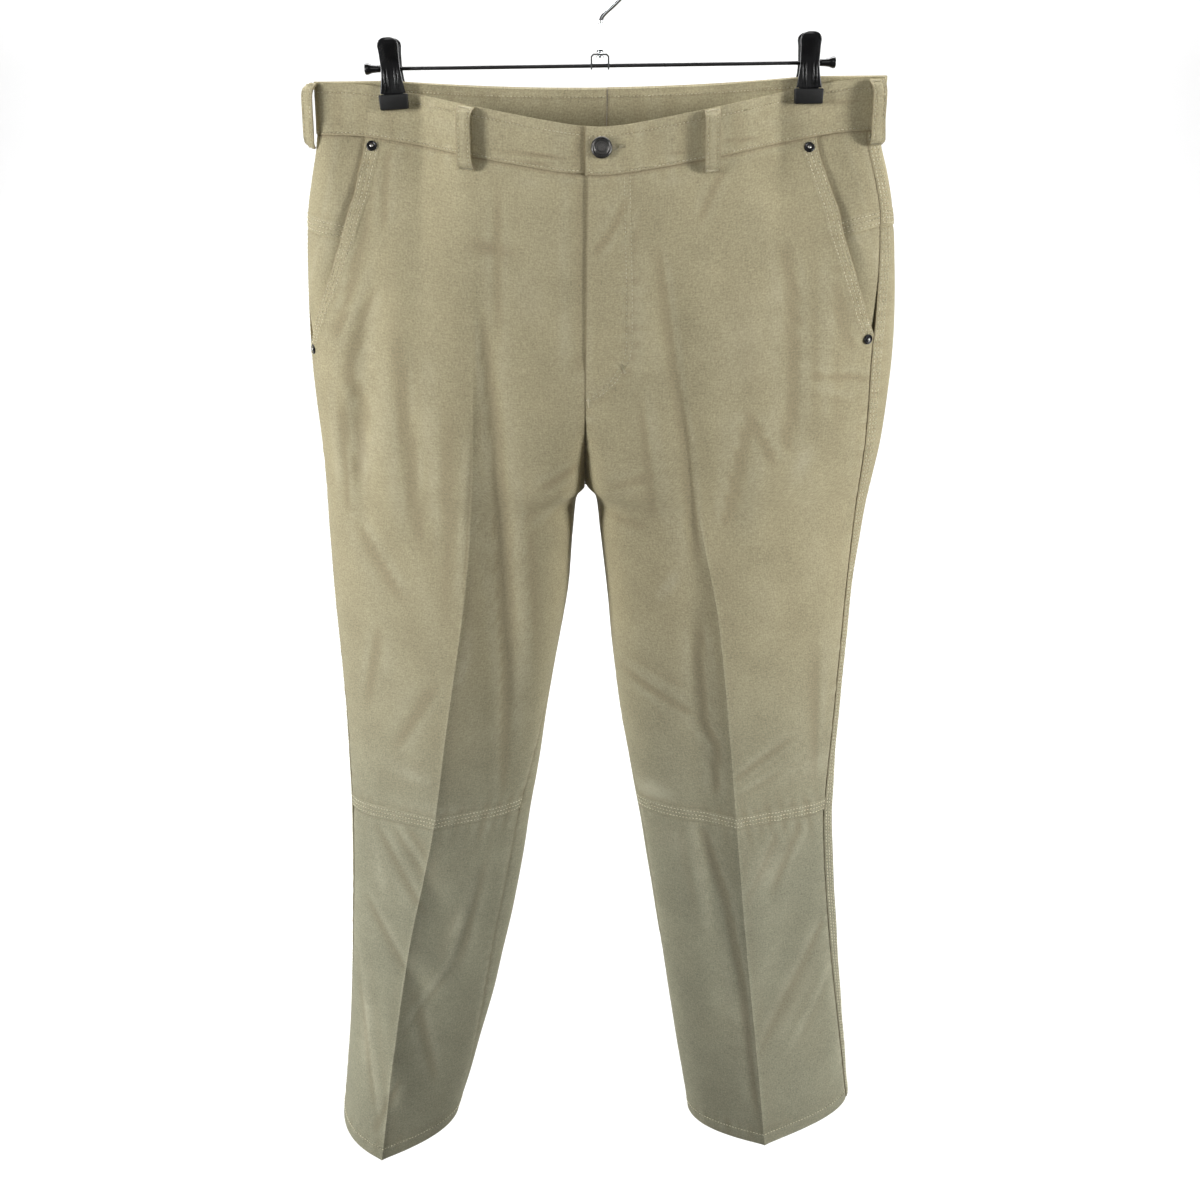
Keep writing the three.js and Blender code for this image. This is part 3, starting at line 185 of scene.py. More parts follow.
# Smaller creases laid over them. lean pushes the steep side towards +X (above 0) or -X.
# Columns: x0, drop0, x1, drop1, width, depth, lean.
CREASES = {
    ("r", "front"): (
        (-172, 46, -175, 102, 5, -1.1, 0.2), (-189, 96, -212, 178, 7, -1.3, -0.5),
        (-211, 178, -221, 196, 7, -1.4, 0.3), (-188, 165, -210, 225, 6, -1.5, 0.5),
        (-210, 225, -201, 247, 6, -1.3, 0.4), (-202, 247, -212, 315, 7, -1.4, -0.4),
        (-218, 268, -220, 335, 5, -1.8, 0.5), (-228, 250, -226, 330, 6, 1.0, 0.0),
        (-164, 212, -156, 347, 9, -1.6, 0.4), (-143, 230, -138, 370, 10, 1.1, -0.3),
        (-109, 275, -121, 425, 6, 1.8, 0.6), (-95, 180, -88, 278, 7, -1.8, -0.5),
        (-88, 278, -85, 490, 7, -2.4, -0.5), (-85, 487, -91, 604, 7, -1.9, -0.4),
        (-70, 330, -66, 470, 8, 1.3, 0.0), (-82, 71, -83, 181, 6, -0.7, 0.0),
        (-48, 316, -18, 300, 6, -0.7, 0.0), (-60, 352, -24, 326, 7, 0.5, 0.0),
        (-208, 360, -178, 410, 8, -1.1, 0.4), (-150, 500, -186, 560, 10, -1.0, 0.3),
        (-200, 455, -214, 520, 8, -0.9, -0.3), (-208, 664, -175, 730, 6, -1.2, 0.5),
        (-190, 650, -168, 690, 6, 1.2, 0.0), (-225, 742, -193, 805, 7, -1.1, 0.5),
        (-238, 822, -226, 960, 6, 1.5, -0.5), (-123, 728, -150, 808, 6, 0.9, 0.4),
        (-150, 808, -190, 864, 6, 0.7, 0.4), (-112, 700, -136, 800, 7, -0.8, 0.0),
        (-180, 850, -170, 930, 7, -1.2, 0.3), (-205, 930, -232, 985, 7, -0.9, 0.0),
    ),
    ("l", "front"): (
        (22, 63, 13, 84, 5, -1.1, 0.4), (13, 84, -2, 107, 5, -1.1, 0.4), (30, 74, 18, 104, 5, 0.7, 0.0),
        (48, 119, 60, 211, 7, -1.5, 0.5), (60, 211, 72, 276, 7, -1.8, 0.5), (72, 276, 83, 368, 7, -2.3, 0.5),
        (40, 240, 52, 330, 9, 1.5, -0.3), (10, 318, 44, 306, 7, -0.5, 0.0), (6, 348, 36, 352, 7, -0.5, 0.0),
        (88, 450, 95, 533, 6, -2.0, 0.5), (95, 533, 107, 557, 5, -1.8, 0.5),
        (107, 557, 108, 604, 5, -1.9, 0.3), (102, 664, 123, 730, 6, -2.2, 0.5),
        (123, 730, 141, 820, 6, -1.8, 0.5), (141, 820, 159, 962, 6, -1.6, 0.4),
        (86, 650, 106, 760, 10, 1.2, 0.0), (150, 125, 159, 165, 9, -1.2, 0.0),
        (159, 165, 163, 245, 9, -1.5, 0.4), (163, 245, 160, 285, 8, -1.3, 0.4),
        (184, 150, 190, 260, 9, 0.9, 0.0), (121, 265, 108, 340, 8, -1.8, -0.5),
        (195, 164, 210, 205, 7, -1.4, 0.3), (178, 229, 220, 235, 5, -0.7, 0.0),
        (180, 240, 212, 248, 5, 0.4, 0.0), (98, 51, 81, 87, 5, -0.7, 0.2), (128, 262, 146, 296, 6, -1.0, 0.3),
        (129, 589, 171, 561, 5, -1.0, 0.0), (134, 603, 176, 580, 5, 0.6, 0.0),
        (175, 632, 141, 713, 7, 0.9, 0.5), (196, 640, 170, 720, 7, -0.8, 0.3),
        (220, 772, 168, 888, 7, -1.2, -0.5), (232, 820, 196, 900, 7, 0.6, 0.0),
        (24, 484, 89, 515, 7, 0.6, 0.0), (30, 500, 84, 528, 6, -1.0, 0.0), (196, 480, 204, 600, 10, -1.2, 0.4),
    ),
    ("r", "back"): (
        (-30, 318, -84, 302, 8, -2.0, 0.0), (-34, 352, -92, 380, 8, -2.2, 0.0),
        (-60, 280, -120, 250, 9, -1.4, 0.0), (-176, 330, -196, 450, 8, -1.6, 0.4),
        (-128, 470, -150, 560, 7, -1.7, 0.4), (-98, 560, -190, 600, 8, -1.8, 0.0),
        (-110, 630, -205, 654, 8, -1.6, 0.0), (-150, 720, -212, 780, 7, -1.5, 0.3),
        (-210, 850, -236, 960, 7, -1.3, 0.4), (-140, 130, -150, 230, 10, -1.2, 0.3),
    ),
    ("l", "back"): (
        (20, 318, 74, 302, 8, -2.0, 0.0), (14, 352, 76, 384, 8, -2.1, 0.0), (56, 276, 118, 244, 9, -1.3, 0.0),
        (164, 330, 186, 460, 8, -1.6, -0.4), (100, 480, 126, 570, 7, -1.7, 0.4),
        (60, 566, 170, 600, 8, -1.7, 0.0), (70, 634, 190, 650, 8, -1.5, 0.0),
        (120, 720, 186, 790, 7, -1.6, 0.3), (190, 850, 226, 960, 7, -1.2, 0.4),
        (130, 140, 140, 240, 10, -1.1, 0.3),
    ),
}
# Marks on the cloth: light scuffs, dark stains and frays, each an ellipse turned by tilt degrees.
# Columns: kind, x, drop, half_x, half_drop, tilt in degrees, amount.
MARKS = {
    "front_upper_r": (
        ("dark", -88, 112, 19, 7, 2, 0.5), ("dark", -98, 107, 8, 4, 0, 0.35),
        ("light", -120, 470, 5, 26, 12, 0.45), ("light", -176, 590, 26, 9, 20, 0.35),
        ("light", -104, 330, 8, 40, 2, 0.25), ("light", -203, 300, 5, 30, 0, 0.3),
        ("light", -58, 150, 18, 26, 0, 0.15), ("light", -150, 628, 40, 9, 4, 0.3),
    ),
    "front_upper_l": (
        ("light", 30, 170, 10, 70, 0, 0.2), ("light", 118, 200, 30, 50, 0, 0.16),
        ("light", 60, 402, 5, 18, 30, 0.45), ("light", 172, 300, 8, 18, 20, 0.35),
        ("light", 50, 620, 18, 12, 0, 0.5), ("light", 196, 590, 30, 16, -10, 0.25),
        ("dark", 210, 180, 12, 22, -14, 0.2),
    ),
    "front_lower_r": (
        ("light", -214, 700, 8, 40, -10, 0.35), ("light", -236, 880, 6, 50, 6, 0.35),
        ("light", -140, 760, 6, 30, 26, 0.3),
    ),
    "front_lower_l": (
        ("light", 160, 690, 14, 30, 24, 0.35), ("light", 70, 672, 16, 14, 0, 0.3),
        ("dark", 190, 850, 14, 60, 30, 0.2), ("light", 150, 900, 6, 50, -8, 0.25),
    ),
    "waistband_r": (
        ("dark", -50, 29, 27, 1.5, -3, 0.75), ("dark", -52, 36, 15, 1.2, -3, 0.6),
        ("light", -112, 20, 30, 8, 0, 0.2),
    ),
    "waistband_l": (
        ("dark", 62, 30, 10, 1.2, 4, 0.6), ("dark", 112, 30, 14, 1.4, 6, 0.7),
        ("dark", 192, 16, 16, 1.3, 4, 0.65), ("light", 150, 22, 26, 6, 0, 0.2),
    ),
    "back_r": (
        ("light", -120, 300, 40, 60, 0, 0.25), ("light", -140, 640, 46, 16, 6, 0.3),
        ("dark", -205, 960, 30, 20, 0, 0.25),
    ),
    "back_l": (
        ("light", 100, 300, 40, 60, 0, 0.25), ("light", 120, 640, 46, 16, -6, 0.3),
        ("dark", 150, 960, 30, 20, 0, 0.25),
    ),
}


# ------------------------------------------------------------------ the cloth's surface
ARC_STEPS = 36
WAIST_V = {"slope": 0.21, "round": 22.0, "bottom": -25.6, "tilt": 0.005}
SIDE_LIFT = {"r": 9.5, "l": 13.0}
BACK_LIFT = {"clip": 12.7, "dip": 7.0, "tilt": 0.0105}
LIFT_ROUNDING = 2.0
FOLD_FADE = 0.25
CREASE_FADE = 0.3


def smooth(x, start, end):
    t = np.clip((np.asarray(x, float) - start) / (end - start), 0, 1)
    return t * t * (3 - 2 * t)


def lerp(a, b, t):
    return a + (b - a) * t


def table_value(rows, columns, name, drop):
    """One column's value at a level, on a smooth curve through the rows that never overshoots them."""
    column = columns.index(name)
    i = 1
    while i < len(rows) - 1 and rows[i][0] < drop:
        i += 1
    a, b = rows[i - 1], rows[i]
    before, after = rows[max(i - 2, 0)], rows[min(i + 1, len(rows) - 1)]
    span = b[0] - a[0]
    t = min(max((drop - a[0]) / span, 0.0), 1.0)
    steady = (b[column] - a[column]) / span
    slopes = ((b[column] - before[column]) / (b[0] - before[0]), (after[column] - a[column]) / (after[0] - a[0]))
    limit = 3 * abs(steady)
    m0, m1 = (min(max(m, -limit), limit) if m * steady > 0 else 0.0 for m in slopes)
    t2, t3 = t * t, t * t * t
    ends = (2 * t3 - 3 * t2 + 1) * a[column] + (3 * t2 - 2 * t3) * b[column]
    return ends + (t3 - 2 * t2 + t) * span * m0 + (t3 - t2) * span * m1


def rise_depth(drop, turn, centre_y):
    t = min(max((drop - turn) / (CROTCH_DROP - turn), 0.0), 1.0)
    return CROTCH_Y + (centre_y - CROTCH_Y) * math.sqrt(1 - t * t)


def section_arc(p0, d0, p1, d1, fullness=0.55):
    dx, dy = abs(p1[0] - p0[0]), abs(p1[1] - p0[1])
    reach = lerp(0.33, fullness, min(max(1 - float(np.dot(d0, d1)), 0.0), 1.0))
    h0 = reach * (dx * abs(d0[0]) + dy * abs(d0[1]))
    h1 = reach * (dx * abs(d1[0]) + dy * abs(d1[1]))
    t = np.linspace(0, 1, ARC_STEPS + 1)[:, None]
    a, b = p0 + d0 * h0, p1 - d1 * h1
    return (1 - t) ** 3 * p0 + 3 * (1 - t) ** 2 * t * a + 3 * (1 - t) * t * t * b + t ** 3 * p1


def section(side, drop):
    """Points of one side's section at a level, and how far along it its landmarks lie."""
    s = SIGN[side]
    wide = {name: table_value(SECTIONS[side], SECTION_COLUMNS, name, drop) for name in SECTION_COLUMNS[1:]}
    deep = {name: table_value(DEPTHS, DEPTH_COLUMNS, name, drop) for name in DEPTH_COLUMNS[1:]}
    legs = drop >= CROTCH_DROP

    def centre(top):
        return lerp(top, CROTCH_X, float(smooth(drop, 0, CROTCH_DROP))) + s * SEAM_GAP / 2

    if legs:
        inner = np.array([wide["in_x"], deep["in_y"]])
        inner_back = inner
    else:
        inner = np.array([centre(CENTRE_FRONT_X), rise_depth(drop, FLY_BOTTOM, deep["centre_front_y"])])
        inner_back = np.array([centre(CENTRE_BACK_X), rise_depth(drop, SEAT_TURN, deep["centre_back_y"])])
    crease = np.array([wide["crease_x"], deep["front_y"]])
    outer = np.array([wide["out_x"], deep["out_y"]])
    back = np.array([wide["crease_x"], deep["back_y"]])
    turn_front = 1.0 if legs else float(smooth(drop, FLY_BOTTOM - 10, CROTCH_DROP - 8))
    turn_back = 1.0 if legs else float(smooth(drop, SEAT_TURN - 10, CROTCH_DROP - 8))
    flare = math.radians(12) * (1 - float(smooth(drop, CROTCH_DROP, 372)) if legs else 1.0)
    front_angle = (math.pi / 2 - flare) * turn_front
    back_angle = (math.pi / 2 - flare) * turn_back
    slope = math.radians(deep["crispness"])
    to_crease = np.array([s * math.cos(slope), -math.sin(slope)])
    from_crease = np.array([s * math.cos(slope), math.sin(slope)])
    to_back = np.array([-s * math.cos(0.8 * slope), math.sin(0.8 * slope)])
    from_back = np.array([-s * math.cos(0.8 * slope), -math.sin(0.8 * slope)])
    leave = np.array([s * math.cos(front_angle), -math.sin(front_angle)])
    arrive = np.array([-s * math.cos(back_angle), -math.sin(back_angle)])
    up = np.array([0.0, 1.0])
    arcs = (
        section_arc(inner, leave, crease, to_crease, deep["fullness"]),
        section_arc(crease, from_crease, outer, up),
        section_arc(outer, up, back, to_back),
        section_arc(back, from_back, inner_back, arrive, deep["fullness"]),
    )
    points = np.concatenate([arcs[0]] + [arc[1:] for arc in arcs[1:]])
    lengths = np.concatenate([[0.0], np.cumsum(np.linalg.norm(np.diff(points, axis=0), axis=1))])
    shift_in = wide["shift_in"] if legs else 0.0
    marks = {
        "legs": float(legs),
        "front_start": shift_in,
        "front_crease": lengths[ARC_STEPS],
        "fold": lengths[2 * ARC_STEPS],
        "outseam": lengths[2 * ARC_STEPS] - wide["shift_out"],
        "back_crease": lengths[3 * ARC_STEPS],
        "total": lengths[-1],
        "back_end": lengths[-1] + shift_in,
    }
    return points, lengths, marks


LEVELS = np.arange(0.0, OUTSEAM_LENGTH + 1, 3.0)
LEVELS = np.unique(np.concatenate([LEVELS, [CROTCH_DROP - 0.01, CROTCH_DROP, OUTSEAM_LENGTH]]))
LEVELS = LEVELS[LEVELS <= OUTSEAM_LENGTH]
OUT_Y = np.array([table_value(DEPTHS, DEPTH_COLUMNS, "out_y", drop) for drop in LEVELS])
LATTICE = {}
for _side in SIDES:
    _rows = [section(_side, drop) for drop in LEVELS]
    LATTICE[_side] = {
        "points": np.array([row[0] for row in _rows]),
        "lengths": np.array([row[1] for row in _rows]),
        "marks": {key: np.array([row[2][key] for row in _rows]) for key in _rows[0][2]},
    }


def landmark(side, name, drop):
    """Distance along the section, from the centre front or the inner fold, to a seam or crease."""
    return np.interp(drop, LEVELS, LATTICE[side]["marks"][name])


def has_legs(drop):
    return np.asarray(drop, float) >= CROTCH_DROP - 0.001


def _on_row(side, row, distance):
    lattice = LATTICE[side]
    total = lattice["marks"]["total"][row]
    legs = lattice["marks"]["legs"][row] > 0.5
    d = np.where(legs, np.mod(distance, total), distance)
    lengths = lattice["lengths"][row]
    i = np.clip((lengths < d[:, None]).sum(axis=1), 1, lengths.shape[1] - 1)
    n = np.arange(len(d))
    before, after = lengths[n, i - 1], lengths[n, i]
    t = ((d - before) / (after - before))[:, None]
    points = lattice["points"]
    return points[row, i - 1] * (1 - t) + points[row, i] * t


def waist_lift(side, x, drop, back_share):
    from_centre = np.hypot(x, WAIST_V["round"]) - WAIST_V["round"]
    vee = WAIST_V["bottom"] + WAIST_V["slope"] * from_centre + WAIST_V["tilt"] * x
    front = -LIFT_ROUNDING * np.log(np.exp(-vee / LIFT_ROUNDING) + math.exp(-SIDE_LIFT[side] / LIFT_ROUNDING))
    dip = BACK_LIFT["dip"] * np.maximum(0, 1 - (x / CLIP_X) ** 2)
    back = BACK_LIFT["clip"] + BACK_LIFT["tilt"] * x - dip
    steady = SIDE_LIFT[side] * (1 - smooth(drop, 100, 600))
    return lerp(lerp(front, back, back_share), steady, smooth(drop, -60, 350))


def hem_lift(side, distance, drop):
    line = HEM_LINE[side]
    crease, fold, back, total = (landmark(side, n, drop) for n in ("front_crease", "fold", "back_crease", "total"))
    d = np.mod(distance, total)
    values = np.select(
        [d < crease, d < fold, d < back],
        [
            lerp(line["inner"], line["front"], d / crease),
            lerp(line["front"], line["outer"], (d - crease) / (fold - crease)),
            lerp(line["outer"], line["back"], (d - fold) / (back - fold)),
        ],
        lerp(line["back"], line["inner"], (d - back) / (total - back)),
    )
    return values * smooth(drop, 820, OUTSEAM_LENGTH + 60) / 0.75


def pinched(x, y, level, mid_y):
    below = np.maximum(0, level - JAW_REACH)
    inwards = np.maximum(0, CLIP_X - JAW_HALF - np.abs(x))
    outwards = np.maximum(0, np.abs(x) - CLIP_X - JAW_HALF)
    room = PINCH_HALF + 0.35 * below + 0.0015 * below ** 2 + 0.5 * inwards + 0.01 * inwards ** 2 + 0.12 * outwards
    depth = y - mid_y
    return mid_y + depth / (1 + (np.abs(depth) / room) ** 4) ** 0.25


def folds_rise(side, face, x, drop):
    rise = np.zeros_like(x)
    for x0, drop0, x1, drop1, width, depth in FOLDS[side, face]:
        t = (drop - drop0) / (drop1 - drop0)
        along = smooth(t, -FOLD_FADE, FOLD_FADE) * (1 - smooth(t, 1 - FOLD_FADE, 1 + FOLD_FADE))
        across = (x - lerp(x0, x1, np.clip(t, 0, 1))) / width
        rise += depth * along * np.exp(-2 * across ** 2)
    return rise


def creases_rise(side, face, x, drop):
    """Creases run along their own line, whichever way it lies."""
    rise = np.zeros_like(x)
    for x0, drop0, x1, drop1, width, depth, lean in CREASES[side, face]:
        run = np.array([x1 - x0, drop1 - drop0], float)
        length = float(np.hypot(*run))
        run /= length
        px, pd = x - x0, drop - drop0
        t = (px * run[0] + pd * run[1]) / length
        across = (px * run[1] - pd * run[0]) / width
        across = across * (1 + lean * np.sign(across))
        fade = smooth(t, -CREASE_FADE, CREASE_FADE) * (1 - smooth(t, 1 - CREASE_FADE, 1 + CREASE_FADE))
        rise += depth * fade * np.exp(-2 * across ** 2)
    return rise


def cloth(side, distance, drop):
    """Points in mm on the cloth's outer face, from distances along the section and levels below the waist."""
    distance, drop = np.broadcast_arrays(np.asarray(distance, float), np.asarray(drop, float))
    shape = distance.shape
    d, w = distance.ravel().copy(), drop.ravel()
    result = np.empty((d.size, 3))
    over = (d < 0) & ~has_legs(w)
    if over.any():
        result[over] = cloth(OTHER[side], -d[over], w[over])
    here = ~over
    d, w = d[here], w[here]
    level = np.clip(w, 0, OUTSEAM_LENGTH)
    row = np.clip(np.searchsorted(LEVELS, level, side="right") - 1, 0, len(LEVELS) - 2)
    f = ((level - LEVELS[row]) / (LEVELS[row + 1] - LEVELS[row]))[:, None]
    flat = _on_row(side, row, d) * (1 - f) + _on_row(side, row + 1, d) * f
    x, y = flat[:, 0], flat[:, 1]
    fold, total = landmark(side, "fold", level), landmark(side, "total", level)
    legs = has_legs(level)
    front = (d < fold) | (legs & (d > total))
    back_share = np.where(legs, 1.0 - front, smooth(d, fold - 14, fold + 3))
    lift = waist_lift(side, x, w, back_share) + hem_lift(side, d, level)
    y = pinched(x, y, w - lift, np.interp(level, LEVELS, OUT_Y))
    rise = np.where(front, -folds_rise(side, "front", x, w), folds_rise(side, "back", x, w))
    result[here] = np.stack([x, y + rise, WAIST_Z - w + lift], axis=1)
    return result.reshape(shape + (3,))


def unit(vectors):
    return vectors / np.maximum(np.linalg.norm(vectors, axis=-1, keepdims=True), 1e-9)


def cloth_normals(side, distance, drop, level=True):
    """Outward normals. They lie level at the waistband, so that its seam stays even."""
    reach = 1.5
    drop = np.asarray(drop, float)
    inside = np.clip(drop, reach, OUTSEAM_LENGTH - reach)
    along = cloth(side, distance + reach, drop) - cloth(side, distance - reach, drop)
    down = cloth(side, distance, inside + reach) - cloth(side, distance, inside - reach)
    normals = unit(np.cross(down, along) if SIGN[side] > 0 else np.cross(along, down))
    if level:
        normals[..., 2] *= smooth(drop, BAND_HEIGHT + 5, BAND_HEIGHT + 50)
        normals = unit(normals)
    return normals


def distance_at_x(side, drop, x, front):
    """Distance along one side's section at which the front or back cloth passes an X."""
    low, high = (0.0, float(landmark(side, "fold", drop)))
    if not front:
        low, high = high, float(landmark(side, "total", drop))
    for _ in range(30):
        mid = (low + high) / 2
        row = np.array([min(np.searchsorted(LEVELS, drop, side="right") - 1, len(LEVELS) - 1)])
        outside = abs(_on_row(side, row, np.array([mid]))[0, 0]) > abs(x)
        if outside == front:
            high = mid
        else:
            low = mid
    return (low + high) / 2


# ------------------------------------------------------------------ relief of seams, edges and stitching
def dip(distance, depth, width):
    """A sewn-in edge draws the cloth down beside it."""
    return -depth * np.exp(-((distance / width) ** 2))


def turned_edge(distance, depth=0.55, width=0.7):
    return -depth * np.exp(-np.maximum(distance, 0) / width)


def groove(distance, at, depth=0.3, width=0.75):
    return -depth * np.exp(-(((distance - at) / width) ** 2))


def layered(distance, width, height):
    """Doubled cloth next to an edge stands a little higher."""
    return height * (1 - smooth(distance, width - 1.2, width + 0.8))


def pucker(run, distance, reach, amount, seed):
    """Uneven small waves along a seam, fading away from it."""
    waves = (
        np.sin(run / 2.1 + seed + 0.9 * np.sin(run / 23.0 + seed))
        + 0.7 * np.sin(run / 3.3 + 2.3 * seed)
        + 0.5 * np.sin(run / 6.1 + 1.7 * seed)
    )
    strength = 0.55 + 0.45 * np.sin(run / 37.0 + 3.1 * seed)
    return amount * waves * strength * np.exp(-((distance / reach) ** 2)) / 1.6


def rumple(x, drop, seed, amount=0.35):
    """Slow unevenness of washed canvas."""
    return amount * (
        np.sin(x / 17.0 + seed) * np.sin(drop / 29.0 + 1.7 * seed)
        + 0.6 * np.sin(x / 9.0 - drop / 41.0 + 2.1 * seed)
        + 0.5 * np.sin(drop / 13.0 + x / 31.0 + 0.6 * seed)
    )


TRIPLE = (2.6, 6.6, 10.6)
HEM_STITCH = 12.6
SEED = {"r": 1.3, "l": 4.1}


# Painted shade: a darkening that fades away from an edge or a seam, where the edge shades the cloth beside it.
def painted_edge_shade(distance, amount=0.6, width=0.7):
    return amount * np.exp(-np.maximum(distance, 0) / width)


class Strip:
    """One cut piece of cloth: where its edges run, how it is sewn and how thick it is."""

    def __init__(self, name, side, face, thickness):
        self.name = name
        self.side = side
        self.face = face
        self.thickness = thickness

    def edges(self, drop):
        raise NotImplementedError

    def relief(self, distance, drop):
        raise NotImplementedError

    def offset(self, distance, drop):
        x = cloth(self.side, distance, drop)[..., 0]
        base = creases_rise(self.side, self.face, x, drop) + rumple(x, drop, SEED[self.side])
        calm = smooth(drop, BAND_HEIGHT, BAND_HEIGHT + 14) * smooth(OUTSEAM_LENGTH - drop, 0, 18)
        return base * calm * self.free(distance, drop) + self.relief(distance, drop)

    def free(self, distance, drop):
        """0 at the seams, where creases are held flat, and 1 away from them."""
        start, end = self.edges(drop)
        return smooth(distance - start, -2, 9) * smooth(end - distance, -2, 9)

    def painted_shade(self, distance, drop):
        """Painted shade along the edges of a piece, and a painted shadow under the waistband's lower edge."""
        start, end = self.edges(drop)
        return np.maximum.reduce([
            painted_edge_shade(distance - start), painted_edge_shade(end - distance), painted_edge_shade(drop - BAND_HEIGHT, 0.9, 1.1),
        ])

    def points(self, distance, drop, above=0.0):
        normals = cloth_normals(self.side, distance, drop)
        return cloth(self.side, distance, drop) + normals * (self.offset(distance, drop) + above)[..., None]


def pocket_inset(side, drop):
    drops, insets = np.array(SLANTS[side], float).T
    return np.interp(drop, drops, insets)


def pocket_bottom(side):
    return float(SLANTS[side][-1][0])


def hem_relief(drop, run, seed):
    to_hem = OUTSEAM_LENGTH - drop
    return (
        layered(to_hem, 14, 0.45)
        + groove(to_hem, HEM_STITCH)
        + turned_edge(to_hem)
        + pucker(run, to_hem - HEM_STITCH, 9, 0.22, seed)
    )


# J-stitching of the fly: distance from the fly edge at each level.
FLY_STITCH_COLUMNS = ("drop", "distance")
FLY_STITCH = (
    (42, 34), (71, 34.5), (140, 37), (190, 38), (203, 36.5), (212, 32), (223, 26), (232, 18), (239, 9), (243, 1),
)


def fly_stitch(drop, inset=0.0):
    drops, distances = np.array(FLY_STITCH, float).T
    return np.interp(drop, drops, distances) - inset


class FrontUpper(Strip):
    def edges(self, drop):
        legs = has_legs(drop)
        lap = FLY_LAP * (1 - smooth(drop, FLY_RELEASE - 40, FLY_RELEASE)) if self.side == "r" else 0.0
        start = landmark(self.side, "front_start", drop) - lap - np.where(legs, SEAM_LAP, 0.0)
        end = landmark(self.side, "outseam", drop) - pocket_inset(self.side, drop) + SEAM_LAP
        return start, end

    def relief(self, distance, drop):
        start, end = self.edges(drop)
        seed = SEED[self.side]
        from_start, to_end = distance - start, end - distance
        to_knee = KNEE_DROP - drop
        legs = smooth(drop, CROTCH_DROP - 20, CROTCH_DROP + 6)
        bottom = pocket_bottom(self.side)
        in_pocket = 1 - smooth(drop, bottom - 4, bottom + 4)
        lift = legs * (dip(from_start, 0.8, 2.2) + pucker(drop, from_start, 8, 0.2, seed))
        slanted = layered(to_end, 13, 0.5) + turned_edge(to_end) + pucker(drop, to_end - 6, 10, 0.28, seed + 1)
        lift += in_pocket * slanted
        for at in TRIPLE:
            lift += in_pocket * groove(to_end, at)
            lift += groove(to_knee, at)
        lift += (1 - in_pocket) * (dip(to_end, 0.8, 2.2) + pucker(drop, to_end, 9, 0.25, seed + 2))
        lift += layered(to_knee, 13, 0.8) + turned_edge(to_knee)
        lift += pucker(distance, to_knee - 4, 16, 0.5, seed + 3)
        lift += dip(drop - BAND_HEIGHT, 0.4, 2.5) + pucker(distance, drop - BAND_HEIGHT, 12, 0.2, seed + 4)
        crease = landmark(self.side, "front_crease", drop)
        lift += 0.9 * smooth(drop, 180, 380) * np.exp(-np.abs(distance - crease) / 2.6)
        if self.side == "l":
            in_fly = 1 - smooth(drop, 240, 246)
            beyond = distance - fly_stitch(drop)
            lift += in_fly * 0.45 * (1 - smooth(beyond, -0.6, 1.6))
            lift += in_fly * (groove(beyond, 0) + groove(beyond, -4.5) + turned_edge(from_start))
            lift += in_fly * pucker(drop, beyond, 10, 0.25, seed + 5)
            centre = smooth(drop, 238, 262) * (1 - legs)
            lift += centre * (dip(from_start, 0.5, 2.0) + pucker(drop, from_start, 8, 0.3, seed + 6))
            return lift
        tuck = CLOTH + SEAM_GAP
        return lift - tuck * (1 - smooth(distance, 1, 20)) * (1 - smooth(drop, FLY_RELEASE, FLY_BOTTOM))


class FrontLower(Strip):
    def edges(self, drop):
        start = landmark(self.side, "front_start", drop) - SEAM_LAP
        return start, landmark(self.side, "outseam", drop) + SEAM_LAP

    def painted_shade(self, distance, drop):
        # The knee seam's lap gets a painted shadow below it, as well as the painted shade along the edges.
        return np.maximum(super().painted_shade(distance, drop), painted_edge_shade(drop - KNEE_DROP, 0.7, 1.0))

    def relief(self, distance, drop):
        start, end = self.edges(drop)
        seed = SEED[self.side]
        from_knee = drop - KNEE_DROP
        lift = dip(from_knee, 0.7, 2.5) + pucker(distance, from_knee, 18, 0.5, seed + 3)
        lift += dip(distance - start, 0.8, 2.2) + dip(end - distance, 0.8, 2.2)
        lift += pucker(drop, distance - start, 8, 0.2, seed) + pucker(drop, end - distance, 9, 0.22, seed + 2)
        crease = landmark(self.side, "front_crease", drop)
        return lift + 0.9 * np.exp(-np.abs(distance - crease) / 2.6) + hem_relief(drop, distance, seed)


